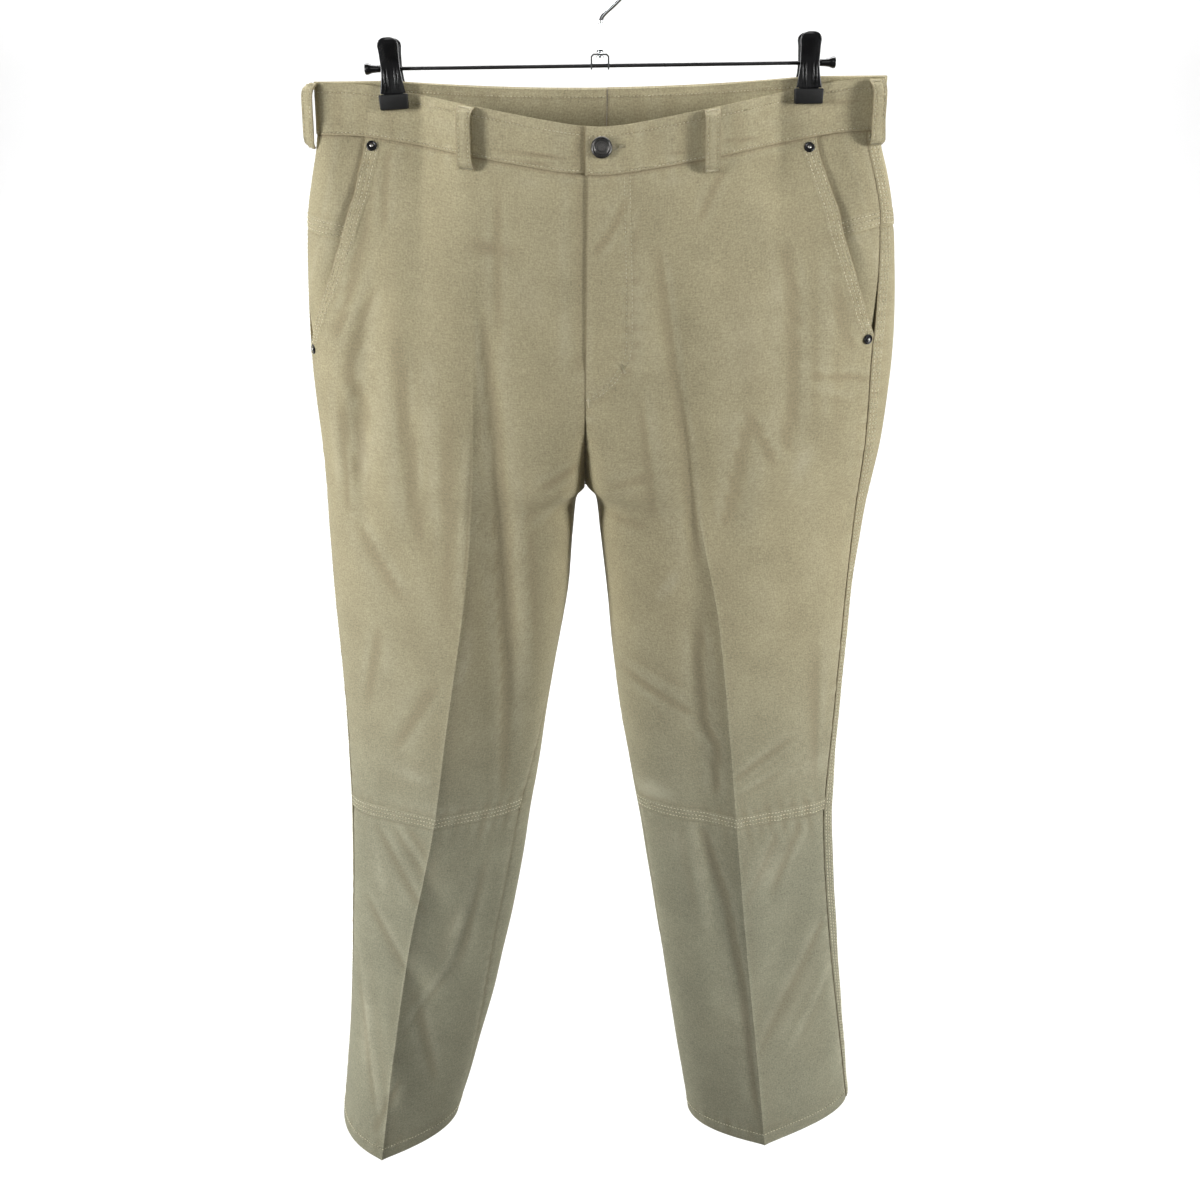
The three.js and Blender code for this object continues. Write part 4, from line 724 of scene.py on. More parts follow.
class Back(Strip):
    def edges(self, drop):
        start = landmark(self.side, "outseam", drop) - SEAM_LAP
        end = landmark(self.side, "back_end", drop) + SEAM_LAP
        return start, end

    def seat_drop(self, distance, drop):
        """Level of the yoke seam at this point across the back."""
        start, end = self.edges(drop)
        crease = landmark(self.side, "back_crease", drop)
        share = np.where(
            distance < crease,
            0.5 * (distance - start) / (crease - start),
            0.5 + 0.5 * (distance - crease) / (end - crease),
        )
        return lerp(YOKE_SIDE_DROP, YOKE_CENTRE_DROP, np.clip(share, 0, 1))

    def relief(self, distance, drop):
        start, end = self.edges(drop)
        seed = SEED[self.side] + 0.7
        legs = smooth(drop, CROTCH_DROP - 14, CROTCH_DROP + 6)
        from_start, to_end = distance - start, end - distance
        lift = layered(from_start, 13, 0.5) + dip(from_start, 0.5, 1.2) + pucker(drop, from_start - 6, 11, 0.26, seed)
        for at in TRIPLE:
            lift += groove(from_start, at)
        lift += legs * (dip(to_end, 0.8, 2.2) + pucker(drop, to_end, 8, 0.2, seed + 1))
        seat = 1 - legs
        lift += seat * (layered(to_end, 10, 0.4) + groove(to_end, 2.6) + groove(to_end, 7.6))
        lift += seat * pucker(drop, to_end - 5, 10, 0.25, seed + 2)
        from_yoke = drop - self.seat_drop(distance, drop)
        lift += dip(from_yoke, 0.6, 2.5) + pucker(distance, from_yoke, 12, 0.28, seed + 3)
        crease = landmark(self.side, "back_crease", drop)
        lift += 0.7 * smooth(drop, 260, 460) * np.exp(-np.abs(distance - crease) / 2.8)
        return lift + hem_relief(drop, distance, seed)


class Yoke(Back):
    def relief(self, distance, drop):
        start, end = self.edges(drop)
        seed = SEED[self.side] + 0.7
        from_start, to_end = distance - start, end - distance
        to_seam = self.seat_drop(distance, drop) - drop
        lift = layered(to_seam, 13, 0.6) + turned_edge(to_seam) + pucker(distance, to_seam - 5, 11, 0.3, seed + 3)
        lift += layered(from_start, 13, 0.3) + dip(from_start, 0.5, 1.2)
        for at in TRIPLE:
            lift += groove(to_seam, at) + groove(from_start, at)
        lift += layered(to_end, 10, 0.3) + groove(to_end, 2.6) + groove(to_end, 7.6)
        return lift + dip(drop - BAND_HEIGHT, 0.4, 2.5)


class Facing(Strip):
    """The cloth that shows behind a slant pocket's mouth."""

    def __init__(self, name, side, upper):
        super().__init__(name, side, "front", CLOTH)
        self.upper = upper

    def edges(self, drop):
        start = landmark(self.side, "outseam", drop) - pocket_inset(self.side, drop) - FACING_TUCK
        return start, landmark(self.side, "outseam", drop) + SEAM_LAP

    def seam(self, distance, drop):
        """Level of the seam between the upper and the lower piece at this point across."""
        start, end = self.edges(drop)
        return lerp(YOKE_FRONT_DROP, YOKE_SIDE_DROP, np.clip((distance - start) / (end - start), 0, 1))

    def relief(self, distance, drop):
        outseam = landmark(self.side, "outseam", drop)
        from_slant = distance - (outseam - pocket_inset(self.side, drop))
        rise = np.clip((from_slant - 2) / 22, 0, 1)
        gape = POCKET_GAPE * smooth(drop, 60, 120) * (1 - smooth(drop, 140, 190))
        lift = -(CLOTH + FACING_CLEAR) * (1 - rise) - gape * np.exp(-((from_slant / 12) ** 2)) * (1 - rise)
        lift += dip(self.edges(drop)[1] - distance, 0.6, 2.0)
        if not self.upper:
            return lift + dip(drop - self.seam(distance, drop), 0.5, 2.0)
        to_seam = self.seam(distance, drop) - drop
        lift += rise * (layered(to_seam, 13, 0.5) + turned_edge(to_seam))
        for at in TRIPLE:
            lift += groove(to_seam, at)
        return lift

    def free(self, distance, drop):
        return np.zeros(np.broadcast(distance, drop).shape)

    def painted_shade(self, distance, drop):
        # Painted shadow in the pocket's mouth, right beside the slant edge, and painted shade along the facing's
        # edges.
        outseam = landmark(self.side, "outseam", drop)
        beside = painted_edge_shade(np.abs(distance - outseam + pocket_inset(self.side, drop)), 0.75, 1.8)
        return np.maximum(beside, super().painted_shade(distance, drop))


class Band(Strip):
    """One half of the waistband. The right half runs on under the left one."""

    def edges(self, drop):
        lap = BAND_UNDERLAP if self.side == "r" else BAND_OVERLAP
        return np.full(np.shape(drop), -lap), landmark(self.side, "back_end", drop) + SEAM_LAP

    def under(self, distance):
        tuck = BAND_CLOTH + 0.5 if self.side == "r" else 0.0
        return tuck * (1 - smooth(distance, 0, 24))

    def lowered(self, distance, drop):
        return drop - 0.4 * self.under(distance) * drop / BAND_HEIGHT

    def painted_shade(self, distance, drop):
        bottom = BAND_HEIGHT - SEAM_GAP / 2
        start, end = self.edges(drop)
        # Painted shade along the band's lower edge and its two ends.
        return np.maximum.reduce([painted_edge_shade(bottom - drop), painted_edge_shade(distance - start), painted_edge_shade(end - distance)])

    def offset(self, distance, drop):
        seed = SEED[self.side]
        start, end = self.edges(drop)
        bottom = BAND_HEIGHT - SEAM_GAP / 2
        lift = BAND_PROUD - self.under(distance)
        lift += turned_edge(drop, 0.5, 0.9) + turned_edge(bottom - drop, 0.45, 0.8)
        lift += groove(drop, 7.5, 0.35, 0.9) + groove(bottom - drop, 2.2)
        calm = smooth(drop, 0, 10) * smooth(bottom - drop, 0, 8)
        lift += calm * pucker(distance * 0.55, 0 * drop, 20, 0.22, seed)
        for level, shift in ((drop - 7.5, 2), (bottom - 2.2 - drop, 4)):
            lift += pucker(distance, level, 5, 0.16, seed + shift)
        lift += dip(end - distance, 0.5, 1.6)
        if self.side == "l":
            lift += turned_edge(distance - start, 0.6, 0.9) + groove(distance - start, 3, 0.25)
        return lift

    def points(self, distance, drop, above=0.0):
        level = self.lowered(distance, drop)
        normals = cloth_normals(self.side, distance, level)
        return cloth(self.side, distance, level) + normals * (self.offset(distance, drop) + above)[..., None]


# ------------------------------------------------------------------ grids
def spaced(start, end, near_start, near_end, pitch):
    """Places from start to end: given offsets at both ends and even steps of about pitch between them."""
    near_start, near_end = np.asarray(near_start, float), np.asarray(near_end, float)
    inner0, inner1 = start + near_start[-1], end - near_end[-1]
    count = max(int(math.ceil((inner1 - inner0) / pitch)), 2)
    middle = np.linspace(inner0, inner1, count + 1)[1:-1]
    return np.concatenate([start + near_start, middle, end - near_end[::-1]])


PLAIN_EDGE = (0, 0.5, 1.2, 2.2, 3.6, 5.6, 8.2)
SEWN_EDGE = tuple(np.concatenate([[0, 0.4, 0.9], np.arange(1.5, 14.6, 0.8)]))
CREASE_EDGE = (0, 0.8, 1.8, 3.2, 5.2, 8.0)


def columns_between(strip, drops, middle, near, counts):
    """Distances of a grid: rows of points from edge to edge, closer at seams and at the pressed crease."""
    start, end = strip.edges(drops)
    centre = landmark(strip.side, middle, drops)
    near_start, near_end = (np.asarray(edge, float) for edge in near)
    crease = np.asarray(CREASE_EDGE)
    share0 = np.linspace(0, 1, counts[0] + 2)[1:-1]
    share1 = np.linspace(0, 1, counts[1] + 2)[1:-1]
    rows = []
    for a, c, b in zip(start, centre, end):
        left = a + near_start * min(1.0, (c - a) / (2.2 * near_start[-1]))
        right = b - near_end[::-1] * min(1.0, (b - c) / (2.2 * near_end[-1]))
        about = crease * min(1.0, (c - a) / 40, (b - c) / 40)
        low, high = c - about[::-1], c + about[1:]
        rows.append(np.concatenate([
            left, lerp(left[-1], low[0], share0), low, high, lerp(high[-1], right[0], share1), right,
        ]))
    return np.array(rows)


def grid_mesh(name, points, uvs, marks=None):
    """A quad sheet from an array of points in mm, with its UV map in metres and its marks."""
    rows, cols = points.shape[:2]
    index = np.arange(rows * cols).reshape(rows, cols)
    quads = np.stack([index[:-1, :-1], index[1:, :-1], index[1:, 1:], index[:-1, 1:]], axis=-1).reshape(-1, 4)
    mesh = bpy.data.meshes.new(name)
    mesh.from_pydata((points.reshape(-1, 3) * MM).tolist(), [], quads.tolist())
    layer = mesh.uv_layers.new(name="cloth")
    corner_uv = uvs.reshape(-1, 2)[quads.ravel()] * MM
    layer.data.foreach_set("uv", corner_uv.ravel())
    colors = np.zeros((rows * cols, 4), np.float32)
    colors[:, 3] = 1
    if marks is not None:
        colors[:, :3] = marks.reshape(-1, 3)
    attribute = mesh.color_attributes.new(name="marks", type="FLOAT_COLOR", domain="POINT")
    attribute.data.foreach_set("color", colors.ravel())
    return new_object(name, mesh)


def new_object(name, mesh):
    obj = bpy.data.objects.new(name, mesh)
    bpy.context.scene.collection.objects.link(obj)
    return obj


def select_only(obj):
    bpy.ops.object.select_all(action="DESELECT")
    obj.select_set(True)
    bpy.context.view_layer.objects.active = obj


def turn_outwards(obj):
    """Makes a closed mesh's normals point out of it."""
    select_only(obj)
    bpy.ops.object.mode_set(mode="EDIT")
    bpy.ops.mesh.select_all(action="SELECT")
    bpy.ops.mesh.normals_make_consistent(inside=False)
    bpy.ops.object.mode_set(mode="OBJECT")


def face_outwards(obj, normals_like):
    """Turns the sheet over if its faces point against the cloth's normals."""
    mesh = obj.data
    polygon = mesh.polygons[len(mesh.polygons) // 2]
    wanted = Vector(normals_like.reshape(-1, 3)[polygon.vertices[0]])
    if polygon.normal.dot(wanted) < 0:
        mesh.flip_normals()


def thicken(obj, thickness):
    """Gives a sheet its wall, inwards from its outer face."""
    select_only(obj)
    solidify = obj.modifiers.new("wall", "SOLIDIFY")
    solidify.thickness = thickness * MM
    solidify.offset = -1
    solidify.use_even_offset = False
    bpy.ops.object.modifier_apply(modifier="wall")
    bpy.ops.object.shade_smooth_by_angle(angle=math.radians(50))


def mark_values(name, x, drop):
    """Red: how grey the lower leg is. Green: light wear. Blue: dark stains. build_strip then adds painted highlights
    to green and painted shade to blue.
    """
    tone = smooth(drop, 330, 760)
    light, dark = np.zeros_like(x), np.zeros_like(x)
    for kind, mark_x, mark_drop, half_x, half_drop, tilt, amount in MARKS.get(name, ()):
        turn = math.radians(tilt)
        px, pd = x - mark_x, drop - mark_drop
        a = (px * math.cos(turn) + pd * math.sin(turn)) / half_x
        b = (-px * math.sin(turn) + pd * math.cos(turn)) / half_drop
        value = amount * np.exp(-(a * a + b * b) * 1.2)
        if kind == "light":
            light = np.maximum(light, value)
        else:
            dark = np.maximum(dark, value)
    return np.stack([tone, light, dark], axis=-1)


def relief_wear_and_shade(lift):
    """High spots of the seams are lightened, partly rub wear and partly a painted highlight; grooves are darkened,
    partly dirt and partly painted shade.
    """
    blurred = lift.copy()
    for _ in range(6):
        blurred[1:-1, 1:-1] = (
            blurred[:-2, 1:-1] + blurred[2:, 1:-1] + blurred[1:-1, :-2] + blurred[1:-1, 2:] + 2 * blurred[1:-1, 1:-1]
        ) / 6
    sharp = lift - blurred
    return np.clip(sharp * 1.2, 0, 0.18), np.clip(-sharp * 1.4, 0, 0.32)


def build_strip(strip, drops, distances, settings, levels=None):
    """The cloth of one piece, as a thin wall in its solid's place."""
    levels = np.repeat(drops[:, None], distances.shape[1], axis=1) if levels is None else levels
    points = strip.points(distances, levels)
    lift = strip.offset(distances, levels)
    x = points[..., 0]
    marks = mark_values(strip.name, x, levels)
    # The marks also carry painted light: a painted highlight on raised seams, and painted shade in grooves, along
    # edges and under the waistband.
    light, dark = relief_wear_and_shade(lift)
    marks[..., 1] = np.maximum(marks[..., 1], light)
    marks[..., 2] = np.maximum.reduce([marks[..., 2], dark, strip.painted_shade(distances, levels)])
    uvs = np.stack([distances, -levels], axis=-1)
    obj = grid_mesh(f"{strip.name}_cloth", points, uvs, marks)
    face_outwards(obj, cloth_normals(strip.side, distances, levels))
    thicken(obj, strip.thickness)
    finish_piece(obj, strip.name, "canvas", canvas_material(settings))
    return obj


def finish_piece(obj, node, slot, *materials):
    for material in materials:
        obj.data.materials.append(material)
    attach(obj, "root")
    if node:
        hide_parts(node)


# ------------------------------------------------------------------ sewing
class Sewing:
    """Collects stitches, and makes one mesh of them."""

    RING = 5

    def __init__(self, name, settings, seed, dull=False):
        self.name = name
        self.settings = settings
        self.dull = dull
        self.random = np.random.default_rng(seed)
        self.frames = []

    def add(self, centre, tangent, normal, length, width):
        self.frames.append((centre, tangent, normal, length, width))

    @staticmethod
    def at(place, lengths, values):
        return np.array([np.interp(place, lengths, values[:, i]) for i in range(3)])

    def along(self, points, normals, pitch=None, width=None, fill=0.74):
        """Stitches one after the other along a line of points."""
        pitch = pitch or self.settings.stitch_length * 1000
        width = width or self.settings.thread_width * 1000
        lengths = np.concatenate([[0], np.cumsum(np.linalg.norm(np.diff(points, axis=0), axis=1))])
        count = int(lengths[-1] / pitch)
        if count < 1:
            return
        places = (np.arange(count) + 0.5) * lengths[-1] / count
        half = 0.5 * fill * pitch
        for place in places:
            a, b, c = (self.at(place + k, lengths, points) for k in (-half, 0, half))
            jitter = self.random.normal(0, 0.05, 3)
            length = 2 * half * self.random.uniform(0.9, 1.06)
            self.add((a + c) / 4 + b / 2, unit(c - a) + jitter, self.at(place, lengths, normals), length, width)

    def seam(self, strip, distances, drops, **options):
        """Stitches on a strip along a line given by distances and levels."""
        distances = np.asarray(distances, float)
        drops = np.asarray(drops, float)
        points = strip.points(distances, drops, above=0.22)
        self.along(points, cloth_normals(strip.side, distances, drops), **options)

    def bar(self, strip, distance, drop, across, along, width=0.9):
        """A bartack: close short stitches across a line."""
        count = max(int(along / 0.75), 3)
        for k in range(count):
            f = (k + 0.5) / count - 0.5
            d = np.array([distance[0] + distance[1] * f * along])
            w = np.array([drop[0] + drop[1] * f * along])
            p = strip.points(d, w, above=0.35)[0]
            n = cloth_normals(strip.side, d, w)[0]
            q = strip.points(d + distance[1] * 0.5 + 0.01, w + drop[1] * 0.5 + 0.01, above=0.35)[0]
            run = unit(q - p)
            self.add(p, unit(np.cross(n, run)) + self.random.normal(0, 0.06, 3), n, across, width)

    def finish(self):
        """One capsule for each stitch."""
        angles = np.arange(self.RING) * 2 * math.pi / self.RING
        verts, faces = [], []
        for centre, tangent, normal, length, width in self.frames:
            t = unit(np.asarray(tangent))
            s = unit(np.cross(t, normal))
            n = np.cross(s, t)
            base = len(verts)
            ring = np.cos(angles)[:, None] * s * width / 2 + np.sin(angles)[:, None] * n * width / 2
            for shift in (-0.32, 0.32):
                verts.extend(centre + t * shift * length + ring * 0.85)
            verts.append(centre - t * length / 2 - n * width * 0.45)
            verts.append(centre + t * length / 2 - n * width * 0.45)
            r = self.RING
            for k in range(r):
                m = (k + 1) % r
                faces.append((base + k, base + m, base + r + m, base + r + k))
                faces.append((base + m, base + k, base + 2 * r))
                faces.append((base + r + k, base + r + m, base + 2 * r + 1))
        mesh = bpy.data.meshes.new(self.name)
        mesh.from_pydata((np.array(verts) * MM).tolist(), [], faces)
        obj = new_object(self.name, mesh)
        turn_outwards(obj)
        bpy.ops.object.shade_smooth()
        finish_piece(obj, None, "canvas", thread_material(self.settings, self.dull))
        return obj


# ------------------------------------------------------------------ materials
class Nodes:
    """Short names for wiring a material."""

    def __init__(self, material):
        material.use_nodes = True
        self.tree = material.node_tree
        self.tree.nodes.clear()
        self.out = self.tree.nodes.new("ShaderNodeOutputMaterial")
        self.shader = self.tree.nodes.new("ShaderNodeBsdfPrincipled")
        self.tree.links.new(self.shader.outputs[0], self.out.inputs["Surface"])

    def new(self, kind, **values):
        node = self.tree.nodes.new(kind)
        for key, value in values.items():
            setattr(node, key, value)
        return node

    def link(self, a, b):
        self.tree.links.new(a, b)

    def put(self, socket, value):
        if hasattr(value, "is_linked") or isinstance(value, bpy.types.NodeSocket):
            self.link(value, socket)
        else:
            socket.default_value = value

    def set(self, name, value):
        """A value or a link for one of the shader's own sockets."""
        self.put(self.shader.inputs[name], value)

    def math(self, operation, a, b=0.0, clamp=False):
        node = self.new("ShaderNodeMath", operation=operation, use_clamp=clamp)
        self.put(node.inputs[0], a)
        self.put(node.inputs[1], b)
        return node.outputs[0]

    def mix(self, factor, a, b, blend="MIX"):
        node = self.new("ShaderNodeMix", data_type="RGBA", blend_type=blend)
        self.put(node.inputs["Factor"], factor)
        self.put(node.inputs["A"], a)
        self.put(node.inputs["B"], b)
        return node.outputs["Result"]

    def noise(self, vector, scale, detail=3.0, roughness=0.5, stretch=None):
        if stretch:
            mapping = self.new("ShaderNodeMapping")
            self.link(vector, mapping.inputs["Vector"])
            mapping.inputs["Scale"].default_value = stretch
            vector = mapping.outputs[0]
        node = self.new("ShaderNodeTexNoise")
        self.link(vector, node.inputs["Vector"])
        node.inputs["Scale"].default_value = scale
        node.inputs["Detail"].default_value = detail
        node.inputs["Roughness"].default_value = roughness
        return node.outputs["Fac"]

    def ramp(self, value, low, high):
        node = self.new("ShaderNodeMapRange")
        node.interpolation_type = "SMOOTHSTEP"
        self.link(value, node.inputs["Value"])
        node.inputs["From Min"].default_value = low
        node.inputs["From Max"].default_value = high
        return node.outputs[0]

    def bump(self, height, distance, strength=1.0, normal=None):
        node = self.new("ShaderNodeBump")
        node.inputs["Distance"].default_value = distance
        node.inputs["Strength"].default_value = strength
        self.link(height, node.inputs["Height"])
        if normal is not None:
            self.link(normal, node.inputs["Normal"])
        return node.outputs[0]


def color4(values):
    return (values[0], values[1], values[2], 1.0)


def canvas_material(settings):
    """Washed cotton canvas: plain weave, slubs, blotches, light wear and dark stains, with painted highlights and
    painted shade from the marks.
    """
    found = bpy.data.materials.get("washed_canvas")
    if found:
        return found
    material = bpy.data.materials.new("washed_canvas")
    n = Nodes(material)
    coords = n.new("ShaderNodeTexCoord")
    place = coords.outputs["Object"]
    uv = n.new("ShaderNodeUVMap", uv_map="cloth").outputs[0]
    marks = n.new("ShaderNodeVertexColor", layer_name="marks")
    split = n.new("ShaderNodeSeparateColor")
    n.link(marks.outputs["Color"], split.inputs[0])
    tone, light, dark = split.outputs[0], split.outputs[1], split.outputs[2]

    blotch = n.noise(place, 7.0, 4.0, 0.55)
    patch = n.noise(place, 28.0, 4.0, 0.6)
    warp = n.noise(uv, 1.0, 2.0, 0.6, stretch=(900.0, 130.0, 1.0))
    weft = n.noise(uv, 1.0, 2.0, 0.6, stretch=(130.0, 900.0, 1.0))
    grain = n.noise(uv, 620.0, 2.0, 0.6)
    slub = n.math("MULTIPLY", n.math("ADD", warp, weft), 0.5)

    grey = n.math("ADD", tone, n.math("MULTIPLY", n.math("SUBTRACT", blotch, 0.5), 0.5), clamp=True)
    base = n.mix(grey, color4(settings.canvas_color), color4(settings.faded_color))
    shade = n.math("ADD", n.math("MULTIPLY", slub, 0.8), n.math("MULTIPLY", grain, 1.0))
    shade = n.math("ADD", shade, n.math("MULTIPLY", patch, 0.4))
    shade = n.math("ADD", shade, -0.1)
    tint = n.new("ShaderNodeCombineColor")
    for socket in tint.inputs:
        n.link(shade, socket)
    base = n.mix(1.0, base, tint.outputs[0], blend="MULTIPLY")
    # Green lightens the canvas: light wear, and painted highlights on raised seams.
    scuff = n.ramp(n.math("ADD", n.math("MULTIPLY", slub, 0.6), n.math("MULTIPLY", patch, 0.5)), 0.42, 0.66)
    rubbed_and_highlit = n.math("MULTIPLY", light, n.math("ADD", n.math("MULTIPLY", scuff, 0.8), 0.25), clamp=True)
    base = n.mix(rubbed_and_highlit, base, color4(settings.wear_and_highlight_color))
    # Blue darkens it: stains, and painted shade in grooves, along edges and under the waistband.
    stains_and_shade = n.math("MULTIPLY", dark, n.math("ADD", n.math("MULTIPLY", patch, 0.8), 0.45), clamp=True)
    base = n.mix(stains_and_shade, base, color4(settings.stain_and_shade_color))
    n.set("Base Color", base)

    rough = n.math("ADD", n.math("MULTIPLY", grain, 0.1), 0.82)
    n.set("Roughness", rough)
    n.set("Specular IOR Level", 0.12)
    n.set("Sheen Weight", 0.03)
    n.set("Sheen Roughness", 0.6)

    rumples = n.noise(place, 34.0, 3.0, 0.5)
    first = n.bump(rumples, 0.0022, 0.55)
    weave = n.math("ADD", n.math("MULTIPLY", warp, 0.5), n.math("MULTIPLY", weft, 0.5))
    weave = n.math("ADD", weave, n.math("MULTIPLY", grain, 0.8))
    second = n.bump(weave, 0.0005, 0.7, first)
    n.set("Normal", second)
    return material


def thread_material(settings, dull=False):
    """Cotton thread. The dull one has taken on the colour of the cloth."""
    name = "dull_thread" if dull else "sewing_thread"
    found = bpy.data.materials.get(name)
    if found:
        return found
    material = bpy.data.materials.new(name)
    clean = settings.dull_thread_color if dull else settings.thread_color
    dirty = settings.canvas_color if dull else settings.worn_thread_color
    n = Nodes(material)
    place = n.new("ShaderNodeTexCoord").outputs["Object"]
    worn = n.noise(place, 130.0, 3.0, 0.6)
    fine = n.noise(place, 1500.0, 1.0, 0.5)
    base = n.mix(n.ramp(worn, 0.35, 0.7), color4(clean), color4(dirty))
    n.set("Base Color", base)
    n.set("Roughness", 0.72)
    n.set("Specular IOR Level", 0.3)
    n.set("Sheen Weight", 0.2)
    n.set("Normal", n.bump(fine, 0.0003, 0.6))
    return material


def simple_material(name, color, roughness, metallic, scale, variation, bump, coat=0.0, worn=None):
    """Hard finishes: a colour with its own grain, smudges and fine bump."""
    found = bpy.data.materials.get(name + "_finish")
    if found:
        return found
    material = bpy.data.materials.new(name + "_finish")
    n = Nodes(material)
    place = n.new("ShaderNodeTexCoord").outputs["Object"]
    smudge = n.noise(place, scale, 4.0, 0.6)
    fine = n.noise(place, scale * 12, 2.0, 0.6)
    lighter = color4([min(1.0, c * (1 + variation) + 0.01 * variation) for c in color])
    darker = color4([c * (1 - variation) for c in color])
    base = n.mix(smudge, darker, lighter)
    if worn:
        base = n.mix(n.ramp(fine, 0.62, 0.74), base, color4(worn))
    n.set("Base Color", base)
    n.set("Roughness", n.math("ADD", n.math("MULTIPLY", smudge, 0.18), roughness - 0.09))
    n.set("Metallic", metallic)
    n.set("Coat Weight", coat)
    n.set("Coat Roughness", 0.12)
    n.set("Normal", n.bump(fine, bump, 0.5))
    return material


def plastic_material(settings):
    """Glossy black plastic."""
    return simple_material("black_plastic", settings.plastic_color, 0.15, 0.0, 60.0, 0.3, 0.00004, coat=0.3)


# ------------------------------------------------------------------ hard parts, by the usual operators
def turned(name, profile, steps=32):
    """Spins a closed profile of (radius, height) in mm round Z into a solid, in metres."""
    mesh = bpy.data.meshes.new(name)
    points = [(r * MM, 0.0, h * MM) for r, h in profile]
    mesh.from_pydata(points, [(i, i + 1) for i in range(len(points) - 1)], [])
    obj = new_object(name, mesh)
    select_only(obj)
    bpy.ops.object.mode_set(mode="EDIT")
    bpy.ops.mesh.select_all(action="SELECT")
    bpy.ops.mesh.spin(steps=steps, angle=2 * math.pi, center=(0, 0, 0), axis=(0, 0, 1))
    bpy.ops.mesh.select_all(action="SELECT")
    bpy.ops.mesh.remove_doubles(threshold=0.00001)
    bpy.ops.mesh.normals_make_consistent(inside=False)
    bpy.ops.object.mode_set(mode="OBJECT")
    bpy.ops.object.shade_smooth_by_angle(angle=math.radians(35))
    return obj


def box(name, size, centre, bevel, segments=2):
    """A block in mm with rounded edges, in metres."""
    bpy.ops.object.select_all(action="DESELECT")
    bpy.ops.mesh.primitive_cube_add(size=1)
    obj = bpy.context.active_object
    obj.name = name
    obj.scale = [v * MM for v in size]
    obj.location = [v * MM for v in centre]
    bpy.ops.object.transform_apply(location=True, rotation=False, scale=True)
    modifier = obj.modifiers.new("edges", "BEVEL")
    modifier.width = bevel * MM
    modifier.segments = segments
    bpy.ops.object.modifier_apply(modifier="edges")
    bpy.ops.object.shade_smooth_by_angle(angle=math.radians(35))
    return obj


def lofted(name, rings):
    """Joins closed rings of points in mm, one above the other, and closes both ends."""
    rings = np.asarray(rings, float)
    count, around = rings.shape[:2]
    faces = []
    for j in range(count - 1):
        for i in range(around):
            k = (i + 1) % around
            faces.append((j * around + i, j * around + k, (j + 1) * around + k, (j + 1) * around + i))
    faces.append(tuple(range(around))[::-1])
    faces.append(tuple(range((count - 1) * around, count * around)))
    mesh = bpy.data.meshes.new(name)
    mesh.from_pydata((rings.reshape(-1, 3) * MM).tolist(), [], faces)
    obj = new_object(name, mesh)
    turn_outwards(obj)
    bpy.ops.object.shade_smooth_by_angle(angle=math.radians(35))
    return obj


def join(name, parts):
    bpy.ops.object.select_all(action="DESELECT")
    for part in parts:
        part.select_set(True)
    bpy.context.view_layer.objects.active = parts[0]
    bpy.ops.object.join()
    obj = bpy.context.active_object
    obj.name = name
    return obj


def placed(obj, matrix):
    """Moves a finished mesh by a matrix in metres, and leaves its object at the origin."""
    select_only(obj)
    obj.matrix_world = matrix
    bpy.ops.object.transform_apply(location=True, rotation=True, scale=True)
    return obj


def seat_matrix(side, distance, drop, height):
    """Puts +Z along the cloth's normal at a point, height mm above it."""
    d, w = np.array([distance]), np.array([drop])
    normal = Vector(cloth_normals(side, d, w, level=False)[0])
    point = Vector((cloth(side, d, w)[0] + np.array(normal) * height) * MM)
    return Matrix.Translation(point) @ normal.to_track_quat("Z", "Y").to_matrix().to_4x4()


def rod_height(x):
    return ROD_Z + x * math.tan(ROD_TILT)


# ------------------------------------------------------------------ settings
def color_property(name, description, default):
    return FloatVectorProperty(
        name=name, description=description, subtype="COLOR", size=3, default=default, min=0, max=1,
    )


class SlacksClothSettings(PropertyGroup):
    canvas_color: color_property(
        "Canvas", "Colour of the canvas above the knees", (0.381, 0.337, 0.212),
    )
    faded_color: color_property(
        "Lower legs", "Greyer colour of the canvas towards the hems", (0.262, 0.255, 0.18),
    )
    # Also the colour of the painted highlights on raised seams.
    wear_and_highlight_color: color_property(
        "Scuffs", "Colour of canvas rubbed pale", (0.52, 0.49, 0.365),
    )
    # Also the colour of the painted shade along edges, in grooves and under the waistband.
    stain_and_shade_color: color_property(
        "Stains", "Colour of dark marks and frays", (0.19, 0.145, 0.085),
    )
    thread_color: color_property(
        "Thread", "Colour of the topstitching", (0.74, 0.69, 0.5),
    )
    worn_thread_color: color_property(
        "Worn thread", "Colour of dirty stretches of the topstitching", (0.56, 0.51, 0.35),
    )
    dull_thread_color: color_property(
        "Dull thread", "Colour of the stitching of the waistband, fly and loops", (0.58, 0.53, 0.37),
    )
    thread_width: FloatProperty(
        name="Thread width", description="Width of a stitch", default=0.0009, min=0.0003, max=0.002, unit="LENGTH",
    )
    stitch_length: FloatProperty(
        name="Stitch length", description="Pitch of the topstitching", default=0.0032, min=0.002, max=0.006,
        unit="LENGTH",
    )


class SlacksHangerSettings(PropertyGroup):
    plastic_color: color_property(
        "Plastic", "Colour of the clips and rod ends", (0.005, 0.005, 0.0055),
    )
    metal_color: color_property(
        "Antique metal", "Colour of the button and rivets", (0.1, 0.097, 0.092),
    )


